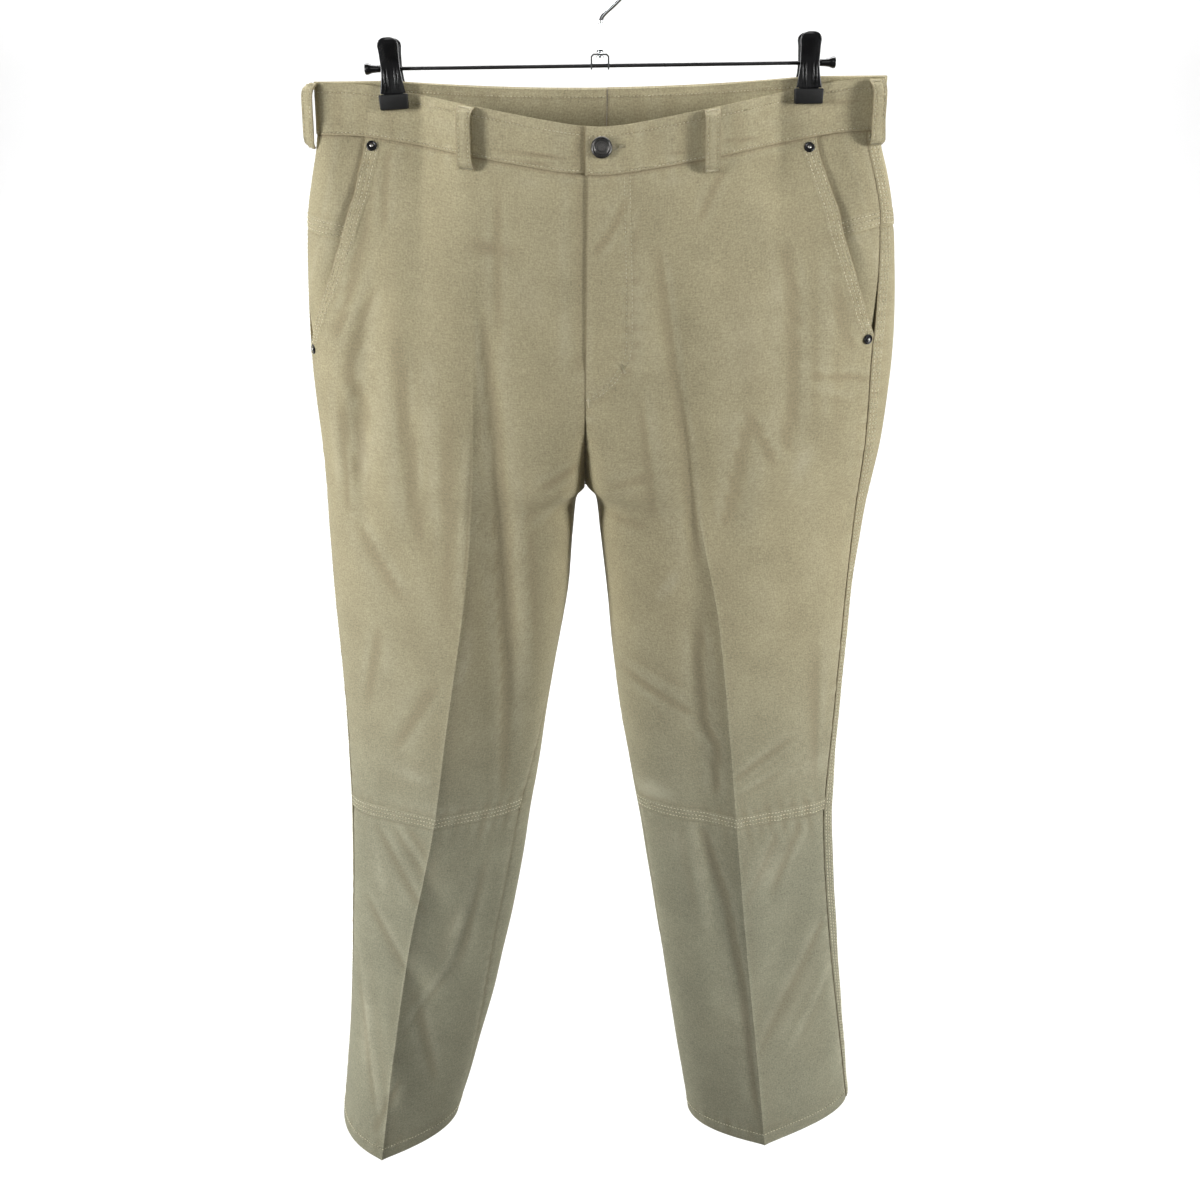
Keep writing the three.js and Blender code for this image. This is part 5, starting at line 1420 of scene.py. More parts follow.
class SlacksStageSettings(PropertyGroup):
    floor_color: color_property(
        "Floor", "Colour of the floor and backdrop", (0.9, 0.9, 0.9),
    )
    side_power: FloatProperty(
        name="Side lights", description="Power of each side softbox, in watts", default=2.3, min=0, max=500,
    )
    front_power: FloatProperty(
        name="Front light", description="Power of the front softbox, in watts", default=5.5, min=0, max=500,
    )
    floor_power: FloatProperty(
        name="Floor light", description="Power of the light over the backdrop, in watts", default=205, min=0,
        max=2000,
    )
    ambient: FloatProperty(
        name="Ambient", description="Strength of the light from all round", default=0.07, min=0, max=5,
    )
    camera_height: FloatProperty(
        name="Camera height", description="Height of the camera above the frame's origin", default=-0.116,
        min=-2, max=2, unit="LENGTH",
    )


# ------------------------------------------------------------------ operators: cloth
PANEL_TOP = BAND_HEIGHT - 0.6  # the panels' tops run up behind the band


class SLACKS_OT_fronts(Operator):
    """Builds the four front panels"""

    bl_idname = "slacks.fronts"
    bl_label = "Fronts"

    def execute(self, context):
        settings = context.scene.slacks_cloth
        for side in SIDES:
            upper = FrontUpper(f"front_upper_{side}", side, "front", CLOTH)
            drops = spaced(PANEL_TOP, KNEE_DROP + SEAM_LAP, PLAIN_EDGE, SEWN_EDGE, 3.4)
            distances = columns_between(upper, drops, "front_crease", (PLAIN_EDGE, SEWN_EDGE), (26, 26))
            obj = build_strip(upper, drops, distances, settings)
            lower = FrontLower(f"front_lower_{side}", side, "front", CLOTH)
            drops = spaced(KNEE_DROP - SEAM_LAP, OUTSEAM_LENGTH, PLAIN_EDGE, SEWN_EDGE, 3.4)
            distances = columns_between(lower, drops, "front_crease", (PLAIN_EDGE, PLAIN_EDGE), (24, 22))
            obj = build_strip(lower, drops, distances, settings)
        return {"FINISHED"}


class SLACKS_OT_backs(Operator):
    """Builds the two back legs and the back yoke"""

    bl_idname = "slacks.backs"
    bl_label = "Backs and yoke"

    def execute(self, context):
        settings = context.scene.slacks_cloth
        for side in SIDES:
            back = Back(f"back_{side}", side, "back", CLOTH)
            drops = spaced(YOKE_SIDE_DROP, OUTSEAM_LENGTH, (0, 0.6, 1.4, 2.6, 4.4, 7), SEWN_EDGE, 4.2)
            distances = columns_between(back, drops, "back_crease", (SEWN_EDGE, SEWN_EDGE), (20, 20))
            levels = self.slanted(back, drops, distances, 60.0, -SEAM_LAP)
            obj = build_strip(back, drops, self.redistanced(back, levels, distances, drops), settings, levels)
            yoke = Yoke(f"back_yoke_{side}", side, "back", CLOTH)
            drops = spaced(PANEL_TOP, YOKE_SIDE_DROP, PLAIN_EDGE, SEWN_EDGE, 4.0)
            distances = columns_between(yoke, drops, "back_crease", (SEWN_EDGE, SEWN_EDGE), (20, 20))
            share = (drops - drops[0]) / (drops[-1] - drops[0])
            bottom = yoke.seat_drop(distances, np.repeat(drops[:, None], distances.shape[1], axis=1)) + SEAM_LAP
            levels = lerp(drops[0], bottom, share[:, None])
            obj = build_strip(yoke, drops, self.redistanced(yoke, levels, distances, drops), settings, levels)
        return {"FINISHED"}

    @staticmethod
    def slanted(strip, drops, distances, reach, gap):
        """Levels of the back's grid: its first rows follow the yoke seam, and the rest lie level."""
        level = np.repeat(drops[:, None], distances.shape[1], axis=1)
        top = strip.seat_drop(distances, level) + gap - YOKE_SIDE_DROP
        fade = np.clip(1 - (level - YOKE_SIDE_DROP) / reach, 0, 1)
        return level + top * fade

    @staticmethod
    def redistanced(strip, levels, distances, drops):
        """Keeps each point's share across the panel while its level moves."""
        start, end = strip.edges(drops)
        share = (distances - start[:, None]) / (end - start)[:, None]
        low, high = strip.edges(levels)
        return low + (high - low) * share


class SLACKS_OT_facings(Operator):
    """Builds the cloth behind the slant pockets' mouths"""

    bl_idname = "slacks.facings"
    bl_label = "Pocket facings"

    def execute(self, context):
        settings = context.scene.slacks_cloth
        for side in SIDES:
            share = np.linspace(0, 1, 26)
            seam = lerp(YOKE_FRONT_DROP, YOKE_SIDE_DROP, share)
            for part in ("upper", "lower"):
                facing = Facing(f"pocket_facing_{part}_{side}", side, part == "upper")
                if part == "upper":
                    drops = spaced(PANEL_TOP, YOKE_FRONT_DROP, PLAIN_EDGE, SEWN_EDGE, 3.0)
                    top, bottom = np.full(26, PANEL_TOP), seam + SEAM_LAP
                else:
                    drops = spaced(YOKE_SIDE_DROP, pocket_bottom(side) - 3, PLAIN_EDGE, PLAIN_EDGE, 3.0)
                    top, bottom = seam - SEAM_LAP, np.full(26, drops[-1])
                down = (drops - drops[0]) / (drops[-1] - drops[0])
                levels = lerp(top[None, :], bottom[None, :], down[:, None])
                start, end = facing.edges(levels)
                distances = start + (end - start) * share
                obj = build_strip(facing, drops, distances, settings, levels)
        return {"FINISHED"}


class SLACKS_OT_waistband(Operator):
    """Builds the waistband's two halves"""

    bl_idname = "slacks.waistband"
    bl_label = "Waistband"

    def execute(self, context):
        settings = context.scene.slacks_cloth
        for side in SIDES:
            band = Band(f"waistband_{side}", side, "front", BAND_CLOTH)
            bottom = BAND_HEIGHT - SEAM_GAP / 2
            edge = (0, 0.4, 0.9, 1.6, 2.4, 3.2, 4.4)
            top = (0, 0.4, 0.9, 1.8, 3.2, 5.0, 6.2, 7.0, 7.5, 8.0, 8.8, 10.2)
            drops = spaced(0.0, bottom, top, edge, 2.4)
            start, end = band.edges(drops)
            share = spaced(0.0, 1.0, np.array(edge) / 300, np.array(edge) / 300, 2.6 / 300)
            distances = start[:, None] + (end - start)[:, None] * share
            obj = build_strip(band, drops, distances, settings)
        return {"FINISHED"}


LOOP_PROFILE_COLUMNS = ("share", "stand")
LOOP_PROFILE = (
    (0, 0), (0.03, 0.3), (0.08, 0.72), (0.17, 0.94), (0.3, 1), (0.5, 1), (0.7, 1), (0.83, 0.94), (0.92, 0.72),
    (0.97, 0.3), (1, 0),
)
SIDE_LOOP_INSET = {"r": 3.0, "l": 15.5}
SIDE_LOOP_FACING = {"r": (-0.6, -0.8, 0.0), "l": (0.3, -0.954, 0.0)}
FRONT_LOOP_X = {"r": -105.0, "l": 88.5}
BACK_LOOP_X = {"r": -122.0, "l": 132.0}
CENTRE_LOOP_INSET = 8.0


class Loop(Strip):
    """A belt loop: a narrow strip tacked down at both ends and flat where it stands off the band."""

    def __init__(self, name, side, middle, facing=None):
        super().__init__(name, side, "front", LOOP_CLOTH)
        self.facing = facing
        self.drops = np.linspace(LOOP_TOP, LOOP_BOTTOM, 24)
        self.middles = np.array([middle(drop) for drop in self.drops])

    def middle(self, drop):
        return np.interp(drop, self.drops, self.middles)

    def share(self, drop):
        return (drop - LOOP_TOP) / (LOOP_BOTTOM - LOOP_TOP)

    def stand(self, drop):
        shares, stands = np.array(LOOP_PROFILE, float).T
        fine = np.linspace(-0.025, 0.025, 7)
        share = self.share(drop)
        return sum(np.interp(share + k, shares, stands) for k in fine) / len(fine)

    def rows(self, count):
        """Levels that lie equally far apart along the loop's own length."""
        drops = np.linspace(LOOP_TOP, LOOP_BOTTOM, 500)
        length = np.hypot(np.diff(drops), np.diff(self.stand(drops) * LOOP_CLEAR))
        run = np.concatenate([[0.0], np.cumsum(length)])
        return np.interp(np.linspace(0, run[-1], count), run, drops)

    def painted_shade(self, distance, drop):
        # Painted shade along both edges of the loop.
        return painted_edge_shade(LOOP_WIDTH / 2 - np.abs(distance - self.middle(drop)))

    def offset(self, distance, drop):
        across = distance - self.middle(drop)
        to_edge = LOOP_WIDTH / 2 - np.abs(across)
        lift = BAND_PROUD + LOOP_SEAT + LOOP_CLOTH + self.stand(drop) * LOOP_CLEAR
        lift = lift + turned_edge(to_edge, 0.55, 0.8) + groove(to_edge, 2.4, 0.34)
        lift += 0.3 * np.exp(-((across / 2.0) ** 2))
        share = self.share(drop)
        return lift + turned_edge(np.minimum(share, 1 - share) * 50, 0.6, 1.0)

    def points(self, distance, drop, above=0.0):
        middle = self.middle(drop)
        straight = cloth_normals(self.side, middle, drop)
        if self.facing is not None:
            straight = np.broadcast_to(np.array(self.facing), straight.shape)
        level = unit(np.cross(np.array([0.0, 0.0, SIGN[self.side]]), straight))
        flat = cloth(self.side, middle, drop) + level * (distance - middle)[..., None]
        stand = self.stand(drop)[..., None]
        point = lerp(cloth(self.side, distance, drop), flat, stand)
        normals = unit(lerp(cloth_normals(self.side, distance, drop), straight, stand))
        return point + normals * (self.offset(distance, drop) + above)[..., None]


def belt_loops():
    """Every belt loop, where the solids have it."""
    loops = []
    for side in SIDES:
        inset, facing = SIDE_LOOP_INSET[side], SIDE_LOOP_FACING[side]
        loops += [
            Loop(f"loop_front_{side}", side, lambda w, s=side: distance_at_x(s, w, FRONT_LOOP_X[s], True)),
            Loop(f"loop_side_{side}", side, lambda w, s=side, i=inset: float(landmark(s, "fold", w)) - i, facing),
            Loop(f"loop_back_{side}", side, lambda w, s=side: distance_at_x(s, w, BACK_LOOP_X[s], False)),
        ]
    loops.append(Loop("loop_back_centre", "r", lambda w: float(landmark("r", "back_end", w)) - CENTRE_LOOP_INSET))
    return loops


class SLACKS_OT_loops(Operator):
    """Builds the belt loops with their stitching"""

    bl_idname = "slacks.loops"
    bl_label = "Belt loops"

    def execute(self, context):
        settings = context.scene.slacks_cloth
        sewing = Sewing("loop_stitches", settings, 5, dull=True)
        half = LOOP_WIDTH / 2
        edge = np.array([0, 0.35, 0.8, 1.5, 2.1, 2.7, 3.5, 4.8])
        across = np.concatenate([-half + edge, [0.0], half - edge[::-1]])
        for loop in belt_loops():
            drops = loop.rows(64)
            distances = loop.middle(drops)[:, None] + across
            obj = build_strip(loop, drops, distances, settings)
            inner = loop.rows(70)[2:-2]
            for k in (-1, 1):
                sewing.seam(loop, loop.middle(inner) + k * (half - 2.4), inner)
            for drop in (LOOP_TOP + 1.6, LOOP_BOTTOM - 1.6):
                sewing.bar(loop, (float(loop.middle(drop)), 1.0), (drop, 0.0), 2.0, LOOP_WIDTH - 2.4)
        sewing.finish()
        return {"FINISHED"}


class SLACKS_OT_topstitching(Operator):
    """Sews the panels: pockets, fly, knees, sides, yoke, seat, hems and waistband"""

    bl_idname = "slacks.topstitching"
    bl_label = "Topstitching"

    def execute(self, context):
        settings = context.scene.slacks_cloth
        self.fronts(Sewing("front_stitches", settings, 1))
        self.backs(Sewing("back_stitches", settings, 2))
        self.band(Sewing("waistband_stitches", settings, 3, dull=True))
        self.fly(Sewing("fly_stitches", settings, 4, dull=True))
        return {"FINISHED"}

    def fronts(self, sewing):
        for side in SIDES:
            upper = FrontUpper(f"front_upper_{side}", side, "front", CLOTH)
            lower = FrontLower(f"front_lower_{side}", side, "front", CLOTH)
            facing = Facing(f"pocket_facing_upper_{side}", side, True)
            for at in TRIPLE:
                drops = np.linspace(BAND_HEIGHT + 2, pocket_bottom(side) - 1, 120)
                sewing.seam(upper, upper.edges(drops)[1] - at, drops)
                knee = KNEE_DROP - at
                start, end = upper.edges(np.array([knee]))
                line = np.linspace(start[0] + 1, end[0] - 1, 150)
                sewing.seam(upper, line, np.full(150, knee))
                start, end = facing.edges(np.array([YOKE_FRONT_DROP - at]))
                line = np.linspace(start[0] + FACING_TUCK + 1, end[0] - 1, 30)
                sewing.seam(facing, line, facing.seam(line, np.full(30, YOKE_FRONT_DROP - at)) - at)
            hem = OUTSEAM_LENGTH - HEM_STITCH
            start, end = lower.edges(np.array([hem]))
            sewing.seam(lower, np.linspace(start[0] + 1, end[0] - 1, 120), np.full(120, hem))
            for at, drop in ((6.5, 43.5), (3.5, pocket_bottom(side) - 9)):
                end = float(upper.edges(np.array([drop]))[1][0])
                sewing.bar(upper, (end - at, 1.0), (drop, 0.0), 1.8, 6.0)
        sewing.finish()

    def fly(self, sewing):
        fly = FrontUpper("front_upper_l", "l", "front", CLOTH)
        for inset in (0.0, 4.5):
            drops = np.concatenate([np.linspace(42, 200, 90), np.linspace(201, 242, 60)])
            sewing.seam(fly, np.maximum(fly_stitch(drops, inset), 1.2), drops)
        sewing.bar(fly, (31.0, 0.4), (212.0, 1.0), 2.2, 9.0)
        sewing.bar(fly, (3.0, 0.1), (243.0, 1.0), 2.2, 9.0)
        sewing.finish()

    def backs(self, sewing):
        for side in SIDES:
            back = Back(f"back_{side}", side, "back", CLOTH)
            yoke = Yoke(f"back_yoke_{side}", side, "back", CLOTH)
            for at in TRIPLE:
                drops = np.linspace(YOKE_SIDE_DROP + 1, OUTSEAM_LENGTH - 3, 420)
                sewing.seam(back, back.edges(drops)[0] + at, drops, pitch=3.6)
                drops = np.linspace(BAND_HEIGHT + 2, YOKE_SIDE_DROP - 3, 40)
                sewing.seam(yoke, yoke.edges(drops)[0] + at, drops)
                start, end = yoke.edges(np.array([YOKE_CENTRE_DROP]))
                line = np.linspace(start[0] + 1, end[0] - 1, 160)
                level = yoke.seat_drop(line, np.full(160, YOKE_SIDE_DROP + 10.0)) - at
                sewing.seam(yoke, line, level)
            for at in (2.6, 7.6):
                drops = np.linspace(YOKE_CENTRE_DROP + 2, CROTCH_DROP - 3, 130)
                sewing.seam(back, back.edges(drops)[1] - at, drops)
                drops = np.linspace(BAND_HEIGHT + 2, YOKE_CENTRE_DROP - 3, 50)
                sewing.seam(yoke, yoke.edges(drops)[1] - at, drops)
            hem = OUTSEAM_LENGTH - HEM_STITCH
            start, end = back.edges(np.array([hem]))
            sewing.seam(back, np.linspace(start[0] + 1, end[0] - 1, 140), np.full(140, hem))
        sewing.finish()

    def band(self, sewing):
        bottom = BAND_HEIGHT - SEAM_GAP / 2
        for side in SIDES:
            band = Band(f"waistband_{side}", side, "front", BAND_CLOTH)
            start = 6.0 if side == "r" else 1.5
            for drop in (7.5, bottom - 2.2):
                end = float(band.edges(np.array([drop]))[1][0])
                line = np.linspace(start, end - 1.5, 260)
                sewing.seam(band, line, np.full(260, drop))
                inner = np.linspace(start + 30, end - 1.5, 240)
                level = np.full(240, drop)
                points = band.points(inner, level, above=-(BAND_CLOTH + 0.2))
                sewing.along(points, -cloth_normals(side, inner, level))
        left = Band("waistband_l", "l", "front", BAND_CLOTH)
        drops = np.linspace(7.5, bottom - 2.2, 20)
        sewing.seam(left, np.full(20, 1.5), drops)
        # The buttonhole: satin stitches round a slit, and its bartack.
        for k in np.linspace(-1, 1, 26):
            for lip in (-1, 1):
                place = 16.0 + 7.5 * k
                d, w = np.array([place]), np.array([17.5 + 1.1 * lip])
                point = left.points(d, w, above=0.3)[0]
                sewing.add(point, np.array([0.05, 0.0, 1.0]), cloth_normals("l", d, w)[0], 2.1, 0.62)
        sewing.bar(left, (27.0, 1.0), (17.2, -0.05), 3.2, 5.0, width=0.8)
        sewing.finish()


# ------------------------------------------------------------------ operators: button, rivets and hanger
class SLACKS_OT_metal(Operator):
    """Builds the waistband button and the pocket rivets"""

    bl_idname = "slacks.metal"
    bl_label = "Button and rivets"

    def execute(self, context):
        color = context.scene.slacks_hanger.metal_color
        metal = simple_material("antique_metal", color, 0.36, 1.0, 420.0, 0.35, 0.00008, worn=(0.42, 0.4, 0.37))
        r = BUTTON_D / 2
        profile = (
            (0, 0), (5, 0), (5.3, 1.5), (r - 0.7, 1.8), (r - 0.1, 2.2), (r, 2.7), (r - 0.25, 3.3), (r - 0.8, 3.75),
            (r - 1.4, 3.85), (r - 1.8, 3.65), (r - 2.0, 3.3), (r - 2.5, 3.25), (r - 2.9, 3.6), (4.6, 3.8), (3.6, 3.65),
            (3.2, 3.45), (2.2, 3.55), (0, 3.7),
        )
        button = turned("button_metal", profile, 48)
        placed(button, seat_matrix("l", 11, 17.5, BAND_PROUD + SEAM_GAP))
        finish_piece(button, "button", "antique_metal", metal)
        ring = simple_material("dark_rivet", (0.02, 0.02, 0.021), 0.3, 0.6, 420.0, 0.35, 0.00008)
        nipple = simple_material("bright_rivet", (0.5, 0.49, 0.47), 0.3, 1.0, 420.0, 0.3, 0.00008)
        q = RIVET_D / 2
        profile = (
            (0, 0), (q, 0), (q, 0.4), (q - 0.25, 0.85), (q - 0.8, 1.1), (q - 1.3, 1.0), (q - 1.7, 0.65), (2.1, 0.6),
            (1.8, 0.9), (1.5, 1.4), (1.1, 1.75), (0.6, 1.9), (0, 1.95),
        )
        for side, name, drop, inset, height in (
            ("r", "top", 46.5, 57.5, 0.6), ("l", "top", 47.5, 50.0, 0.4),
            ("r", "bottom", 211.5, 15.0, 0.2), ("l", "bottom", 203.5, 7.2, 0.6),
        ):
            rivet = turned(f"rivet_{name}_{side}_metal", profile, 28)
            for polygon in rivet.data.polygons:
                polygon.material_index = int(polygon.center.xy.length < 1.4 * MM)
            placed(rivet, seat_matrix(side, float(landmark(side, "outseam", drop)) - inset, drop, height))
            finish_piece(rivet, f"rivet_{name}_{side}", "antique_metal", ring, nipple)
        return {"FINISHED"}


def rounded_ring(half, y0, y1, z, radius, steps=3):
    """One level of a jaw: a rectangle from -half to half and y0 to y1 with rounded corners."""
    corners = ((half, y1, 0), (-half, y1, 90), (-half, y0, 180), (half, y0, 270))
    ring = []
    for x, y, turn in corners:
        sx, sy = (1 if x > 0 else -1), (1 if y == y1 else -1)
        for k in range(steps + 1):
            angle = math.radians(turn + 90 * k / steps)
            ring.append((x - sx * radius + radius * math.cos(angle), y - sy * radius + radius * math.sin(angle), z))
    return ring


JAW_COLUMNS = ("height", "half_width", "inner_y", "outer_y")
JAW = (
    (-28.0, 8.0, -5.7, -7.1), (BOOT_TOP, 8.0, -5.7, -7.1), (BOOT_TOP + 0.3, 10.2, -5.7, -8.6),
    (-14.0, 9.4, -5.5, -8.5), (-8.0, 8.4, -5.2, -8.3), (-3.0, 7.9, -5.3, -8.2), (2.0, 7.7, -5.4, -8.2),
    (7.0, 7.75, -6.3, -8.9), (12.0, 7.8, -7.2, -9.8), (17.0, 8.3, -8.1, -10.7), (19.4, 7.9, -8.6, -11.1),
    (21.2, 6.6, -8.9, -11.4), (22.4, 4.8, -9.1, -11.6), (CLIP_TOP, 2.6, -9.2, -11.8),
)


def jaw(name):
    """One jaw of a clip, in front of the rod: blade, four ribs and a cross-hatched grip."""
    rings = [rounded_ring(half, outer, inner, z, min(0.65, 0.45 * (inner - outer))) for z, half, inner, outer in JAW]
    parts = [lofted(name, rings)]
    for x in (-5.6, -3.0, 3.0, 5.6):
        line = ((-18, -8.5), (-16, -9.5), (-6, -9.35), (-1.5, -9.1), (0.5, -8.3))
        ring = [rounded_ring(0.55, outer, -7.9, z, 0.3) for z, outer in line]
        rib = lofted(name + "_rib", ring)
        for vertex in rib.data.vertices:
            vertex.co.x += x * MM
        parts.append(rib)
    for direction in (-1, 1):
        for k in range(-5, 6):
            x0 = k * HATCH_PITCH * 1.25
            segment = [(x0 - direction * 7, 4.5), (x0 + direction * 7, 18.5)]
            low, high = clipped(segment, 6.6, 5.0, 18.2)
            if low is None:
                continue
            parts.append(hatch(name + "_hatch", low, high))
    return join(name, parts)


def clipped(segment, half, low, high):
    """The stretch of a slanted line that lies on the grip."""
    (x0, z0), (x1, z1) = segment
    t = np.linspace(0, 1, 80)
    x, z = x0 + (x1 - x0) * t, z0 + (z1 - z0) * t
    inside = (np.abs(x) < half) & (z > low) & (z < high)
    if inside.sum() < 8:
        return None, None
    first, last = np.where(inside)[0][[0, -1]]
    return (x[first], z[first]), (x[last], z[last])


def grip_y(z):
    heights = np.array([row[0] for row in JAW])
    outer = np.array([row[3] for row in JAW])
    return float(np.interp(z, heights, outer))


def hatch(name, low, high):
    """One raised bar of the grip's cross-hatching."""
    a, b = np.array(low), np.array(high)
    run = (b - a) / np.linalg.norm(b - a)
    across = np.array([run[1], -run[0]]) * 0.32
    rings = []
    for f in (0.0, 0.5, 1.0):
        p = a + (b - a) * f
        y = grip_y(p[1])
        rings.append([
            (p[0] - across[0], y + 0.2, p[1] - across[1]),
            (p[0], y - 0.38, p[1]),
            (p[0] + across[0], y + 0.2, p[1] + across[1]),
        ])
    return lofted(name, rings)


class SLACKS_OT_clips(Operator):
    """Builds the hanger's two clips, with their rubber boots"""

    bl_idname = "slacks.clips"
    bl_label = "Clips"

    def execute(self, context):
        settings = context.scene.slacks_hanger
        plastic = plastic_material(settings)
        rubber = simple_material("black_rubber", (0.007, 0.007, 0.007), 0.42, 0.0, 300.0, 0.3, 0.00012)
        for side in SIDES:
            x = SIGN[side] * CLIP_X
            for face in ("front", "back"):
                turn = 0.0 if face == "front" else math.pi
                matrix = (
                    Matrix.Translation((x * MM, 0, rod_height(x) * MM))
                    @ Matrix.Rotation(math.radians(-CLIP_ROLL[side]), 4, "Y")
                    @ Matrix.Rotation(turn, 4, "Z")
                )
                blade = jaw(f"clip_{face}_{side}_plastic")
                lug_x = 5.4 if face == "front" else 3.2
                lugs = []
                for k in (-lug_x, lug_x):
                    lug = turned("lug", ((0, -0.8), (2.6, -0.8), (2.9, -0.5), (2.9, 0.5), (2.6, 0.8), (0, 0.8)), 20)
                    placed(lug, Matrix.Translation((k * MM, 0, 0)) @ Matrix.Rotation(math.pi / 2, 4, "Y"))
                    lugs.append(lug)
                    lugs.append(box("lug_web", (1.6, 4.6, 5.0), (k, -3.6, 0), 0.3))
                blade = join(blade.name, [blade] + lugs)
                placed(blade, matrix)
                blade.data.materials.clear()
                finish_piece(blade, f"clip_{face}_{side}", "black_plastic", plastic)
                boot = self.boot(f"clip_boot_{face}_{side}_rubber")
                placed(boot, matrix)
                finish_piece(boot, f"clip_boot_{face}_{side}", "black_rubber", rubber)
        return {"FINISHED"}

    @staticmethod
    def boot(name):
        """A rubber cap over the jaw's tongue, a little narrower at the bottom."""
        outer, inner = -JAW_FACE - 6, -JAW_FACE
        levels = (
            (BOOT_BOTTOM, 10.5, 0.9), (BOOT_BOTTOM + 0.5, 11.2, 0.35), (BOOT_BOTTOM + 1.2, 11.4, 0.0),
            (BOOT_TOP - 2.2, 11.6, 0.0), (BOOT_TOP - 1.2, 11.7, 0.0), (BOOT_TOP - 0.7, 11.5, 0.25),
            (BOOT_TOP - 0.35, 10.9, 0.8),
        )
        rings = [rounded_ring(half, outer + pull, inner - pull * 0.4, z, 0.9, 4) for z, half, pull in levels]
        return lofted(name, rings)


class SLACKS_OT_rod(Operator):
    """Builds the hanger's rod, its end caps and the hook's bracket"""

    bl_idname = "slacks.rod"
    bl_label = "Rod and bracket"

    def execute(self, context):
        settings = context.scene.slacks_hanger
        coated = simple_material("black_rod", (0.016, 0.016, 0.017), 0.3, 0.35, 200.0, 0.25, 0.00005, coat=0.3)
        half = ROD_HALF - 6.0
        profile = ((0, -half), (1.3, -half), (1.5, -half + 0.3), (1.5, half - 0.3), (1.3, half), (0, half))
        rod = turned("hanger_rod_steel", profile, 20)
        placed(rod, Matrix.Translation((0, 0, ROD_Z * MM)) @ Matrix.Rotation(math.pi / 2 - ROD_TILT, 4, "Y"))
        finish_piece(rod, "hanger_rod", "black_rod", coated)
        plastic = plastic_material(settings)
        socket = ROD_D / 2 + SEAM_GAP
        profile = (
            (0, 0), (3.4, 0), (4.1, 0.3), (4.5, 0.9), (4.5, 2.4), (4.1, 3.4), (3.3, 5.6), (2.9, 9),
            (2.7, CAP_LENGTH - 0.3), (2.5, CAP_LENGTH), (socket, CAP_LENGTH), (socket, CAP_LENGTH - 6),
            (0, CAP_LENGTH - 6),
        )
        for side in SIDES:
            x = SIGN[side] * ROD_HALF
            cap = turned(f"rod_cap_{side}_plastic", profile, 24)
            turn = -math.pi / 2 if side == "l" else math.pi / 2
            placed(cap, Matrix.Translation((x * MM, 0, rod_height(x) * MM)) @ Matrix.Rotation(turn - ROD_TILT, 4, "Y"))
            finish_piece(cap, f"rod_cap_{side}", "black_plastic", plastic)
        return {"FINISHED"}


def chrome_material():
    return simple_material("chrome", (0.78, 0.79, 0.8), 0.14, 1.0, 40.0, 0.06, 0.00004)


class SLACKS_OT_hook(Operator):
    """Builds the hanger's hook and finishes its bracket"""

    bl_idname = "slacks.hook"
    bl_label = "Hook"

    def execute(self, context):
        chrome = chrome_material()
        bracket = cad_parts["hook_bracket"]
        bracket.data.materials.clear()
        bracket.data.materials.append(chrome)
        bow_z = HOOK_WIRE / 2 - HOOK_RADIUS
        route = [
            (0, BRACKET_TOP - STRIP - 1.5), (0, BRACKET_TOP + 8), (0, BRACKET_TOP + 16),
            (0.3, WAIST_Z + 56), (4, WAIST_Z + 60.8), (11.5, WAIST_Z + 66.6),
        ]
        for angle in np.radians(np.linspace(-44, 205, 23)):
            route.append((HOOK_RADIUS * math.cos(angle), bow_z + HOOK_RADIUS * math.sin(angle)))
        curve = bpy.data.curves.new("hook_wire", "CURVE")
        curve.dimensions = "3D"
        curve.bevel_depth = HOOK_WIRE / 2 * MM
        curve.bevel_resolution = 5
        curve.use_fill_caps = True
        spline = curve.splines.new("NURBS")
        spline.points.add(len(route) - 1)
        for point, (x, z) in zip(spline.points, route):
            point.co = (x * MM, 0, z * MM, 1)
        spline.use_endpoint_u = True
        spline.order_u = 3
        spline.resolution_u = 6
        wire = bpy.data.objects.new("hook_wire", curve)
        context.scene.collection.objects.link(wire)
        select_only(wire)
        bpy.ops.object.convert(target="MESH")
        wire = context.active_object
        bpy.ops.object.shade_smooth_by_angle(angle=math.radians(40))
        head = turned("hook_head", ((0, -1.5), (2.6, -1.5), (3.1, -1.1), (3.1, -0.6), (2.6, 0), (0, 0)), 24)
        placed(head, Matrix.Translation((0, 0, (BRACKET_TOP - STRIP - SEAM_GAP) * MM)))
        collar = turned("hook_collar", ((0, 0), (2.5, 0), (2.8, 0.3), (2.8, 1.4), (2.2, 2.6), (0, 2.6)), 24)
        placed(collar, Matrix.Translation((0, 0, (BRACKET_TOP + SEAM_GAP) * MM)))
        tip = turned("hook_tip", ((0, -1.0), (1.75, -1.0), (1.9, 0), (1.7, 1.0), (1.0, 1.7), (0, 1.9)), 20)
        angle = math.radians(205)
        end = Vector((HOOK_RADIUS * math.cos(angle) * MM, 0, (bow_z + HOOK_RADIUS * math.sin(angle)) * MM))
        away = Vector((-math.sin(angle), 0, math.cos(angle)))
        placed(tip, Matrix.Translation(end) @ away.to_track_quat("Z", "Y").to_matrix().to_4x4())
        hook = join("hook_chrome", [wire, head, collar, tip])
        hook.data.materials.clear()
        finish_piece(hook, "hook", "chrome", chrome)
        return {"FINISHED"}


# ------------------------------------------------------------------ stage
def area_light(name, location, target, size, power, spread=180):
    light = bpy.data.lights.new(name, "AREA")
    light.shape = "RECTANGLE"
    light.size, light.size_y = size
    light.energy = power
    light.spread = math.radians(spread)
    obj = bpy.data.objects.new(name, light)
    bpy.context.scene.collection.objects.link(obj)
    obj.location = location
    obj.rotation_euler = (Vector(target) - Vector(location)).to_track_quat("-Z", "Y").to_euler()
    return obj


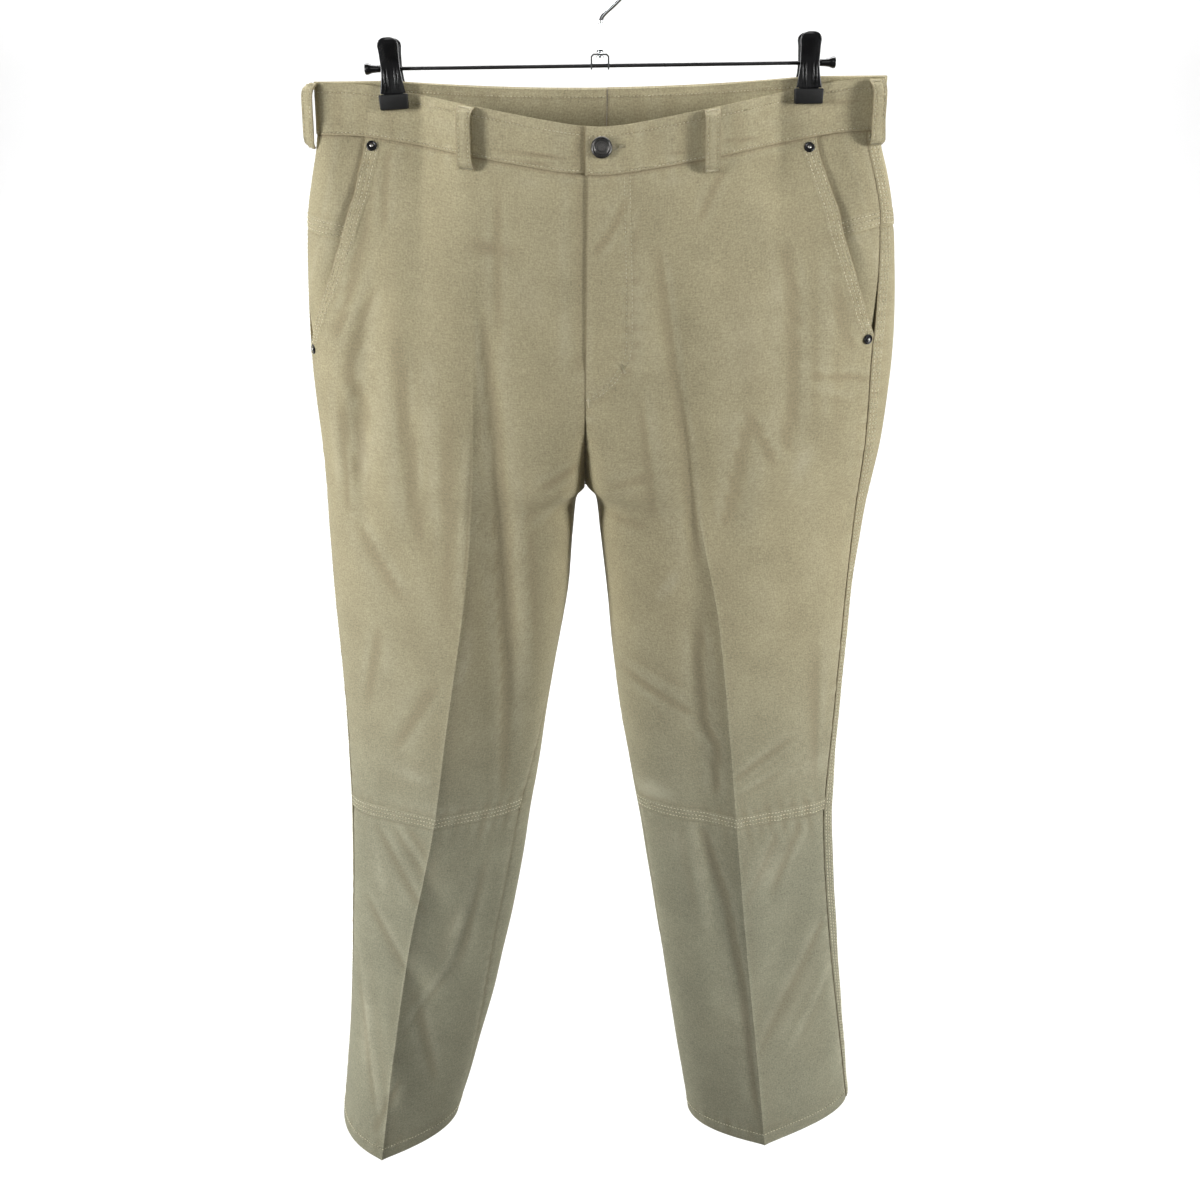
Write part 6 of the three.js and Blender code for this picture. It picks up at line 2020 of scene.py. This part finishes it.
class SLACKS_OT_stage(Operator):
    """Adds the floor, the backdrop, the soft lights and the camera"""

    bl_idname = "slacks.stage"
    bl_label = "Stage"

    def execute(self, context):
        settings = context.scene.slacks_stage
        paper = bpy.data.materials.new("paper")
        n = Nodes(paper)
        n.set("Base Color", color4(settings.floor_color))
        n.set("Roughness", 0.95)
        start, bend, floor, curve, top, half = -0.1, 1.6, -1.45, 1.4, 0.9, 2.6
        profile = [(start, floor), (bend, floor)]
        for angle in np.radians(np.linspace(0, 90, 14)):
            profile.append((bend + curve * math.sin(angle), floor + curve * (1 - math.cos(angle))))
        profile.append((bend + curve, top))
        verts = [(x, y, z) for y, z in profile for x in (-half, half)]
        faces = [(2 * i, 2 * i + 1, 2 * i + 3, 2 * i + 2) for i in range(len(profile) - 1)]
        mesh = bpy.data.meshes.new("backdrop")
        mesh.from_pydata(verts, [], faces)
        backdrop = new_object("backdrop", mesh)
        select_only(backdrop)
        bpy.ops.object.shade_smooth()
        mesh.materials.append(paper)

        for side, share in (("r", 1.0), ("l", 0.9)):
            out = SIGN[side]
            place, aim = (1.06 * out, -0.6, -0.46), (0.18 * out, 0, -0.5)
            area_light("side_light_" + side, place, aim, (0.3, 1.5), settings.side_power * share, 34)
        area_light("front_light", (0, -2.2, 0.6), (0, 0, -0.5), (1.4, 0.8), settings.front_power)
        area_light("floor_light", (0, 1.3, 2.2), (0, 1.9, -1.4), (4.0, 1.6), settings.floor_power)

        world = bpy.data.worlds.new("studio")
        world.use_nodes = True
        background = world.node_tree.nodes["Background"]
        background.inputs["Color"].default_value = (1, 1, 1, 1)
        background.inputs["Strength"].default_value = settings.ambient
        context.scene.world = world

        camera_data = bpy.data.cameras.new("camera")
        camera_data.sensor_width = 36
        camera_data.sensor_fit = "HORIZONTAL"
        camera_data.lens = CAMERA_LENS
        camera_data.clip_end = 50
        camera = bpy.data.objects.new("camera", camera_data)
        context.scene.collection.objects.link(camera)
        camera.location = (0, CAMERA_Y, settings.camera_height)
        camera.rotation_euler = (math.radians(90) - CAMERA_DOWN, 0, 0)
        context.scene.camera = camera
        context.scene.view_settings.view_transform = "Standard"
        return {"FINISHED"}


# ------------------------------------------------------------------ panel and registration
OPERATORS = (
    SLACKS_OT_fronts,
    SLACKS_OT_backs,
    SLACKS_OT_facings,
    SLACKS_OT_waistband,
    SLACKS_OT_loops,
    SLACKS_OT_topstitching,
    SLACKS_OT_metal,
    SLACKS_OT_clips,
    SLACKS_OT_rod,
    SLACKS_OT_hook,
    SLACKS_OT_stage,
)


class SLACKS_PT_panel(Panel):
    """Lists the settings and the operators that build the slacks"""

    bl_idname = "SLACKS_PT_panel"
    bl_label = "Canvas slacks"
    bl_space_type = "VIEW_3D"
    bl_region_type = "UI"
    bl_category = "Slacks"

    def draw(self, context):
        layout = self.layout
        for group in (context.scene.slacks_cloth, context.scene.slacks_hanger, context.scene.slacks_stage):
            column = layout.column()
            for name in group.bl_rna.properties.keys():
                if name not in ("name", "rna_type"):
                    column.prop(group, name)
        for operator in OPERATORS:
            layout.operator(operator.bl_idname)


SETTINGS = (SlacksClothSettings, SlacksHangerSettings, SlacksStageSettings)
CLASSES = SETTINGS + OPERATORS + (SLACKS_PT_panel,)


def register():
    for cls in CLASSES:
        bpy.utils.register_class(cls)
    bpy.types.Scene.slacks_cloth = PointerProperty(type=SlacksClothSettings)
    bpy.types.Scene.slacks_hanger = PointerProperty(type=SlacksHangerSettings)
    bpy.types.Scene.slacks_stage = PointerProperty(type=SlacksStageSettings)


def unregister():
    del bpy.types.Scene.slacks_stage
    del bpy.types.Scene.slacks_hanger
    del bpy.types.Scene.slacks_cloth
    for cls in reversed(CLASSES):
        bpy.utils.unregister_class(cls)


def main():
    register()
    bpy.ops.slacks.fronts()
    bpy.ops.slacks.backs()
    bpy.ops.slacks.facings()
    bpy.ops.slacks.waistband()
    bpy.ops.slacks.loops()
    bpy.ops.slacks.topstitching()
    bpy.ops.slacks.metal()
    bpy.ops.slacks.clips()
    bpy.ops.slacks.rod()
    bpy.ops.slacks.hook()
    bpy.ops.slacks.stage()


if __name__ == "__main__":
    main()
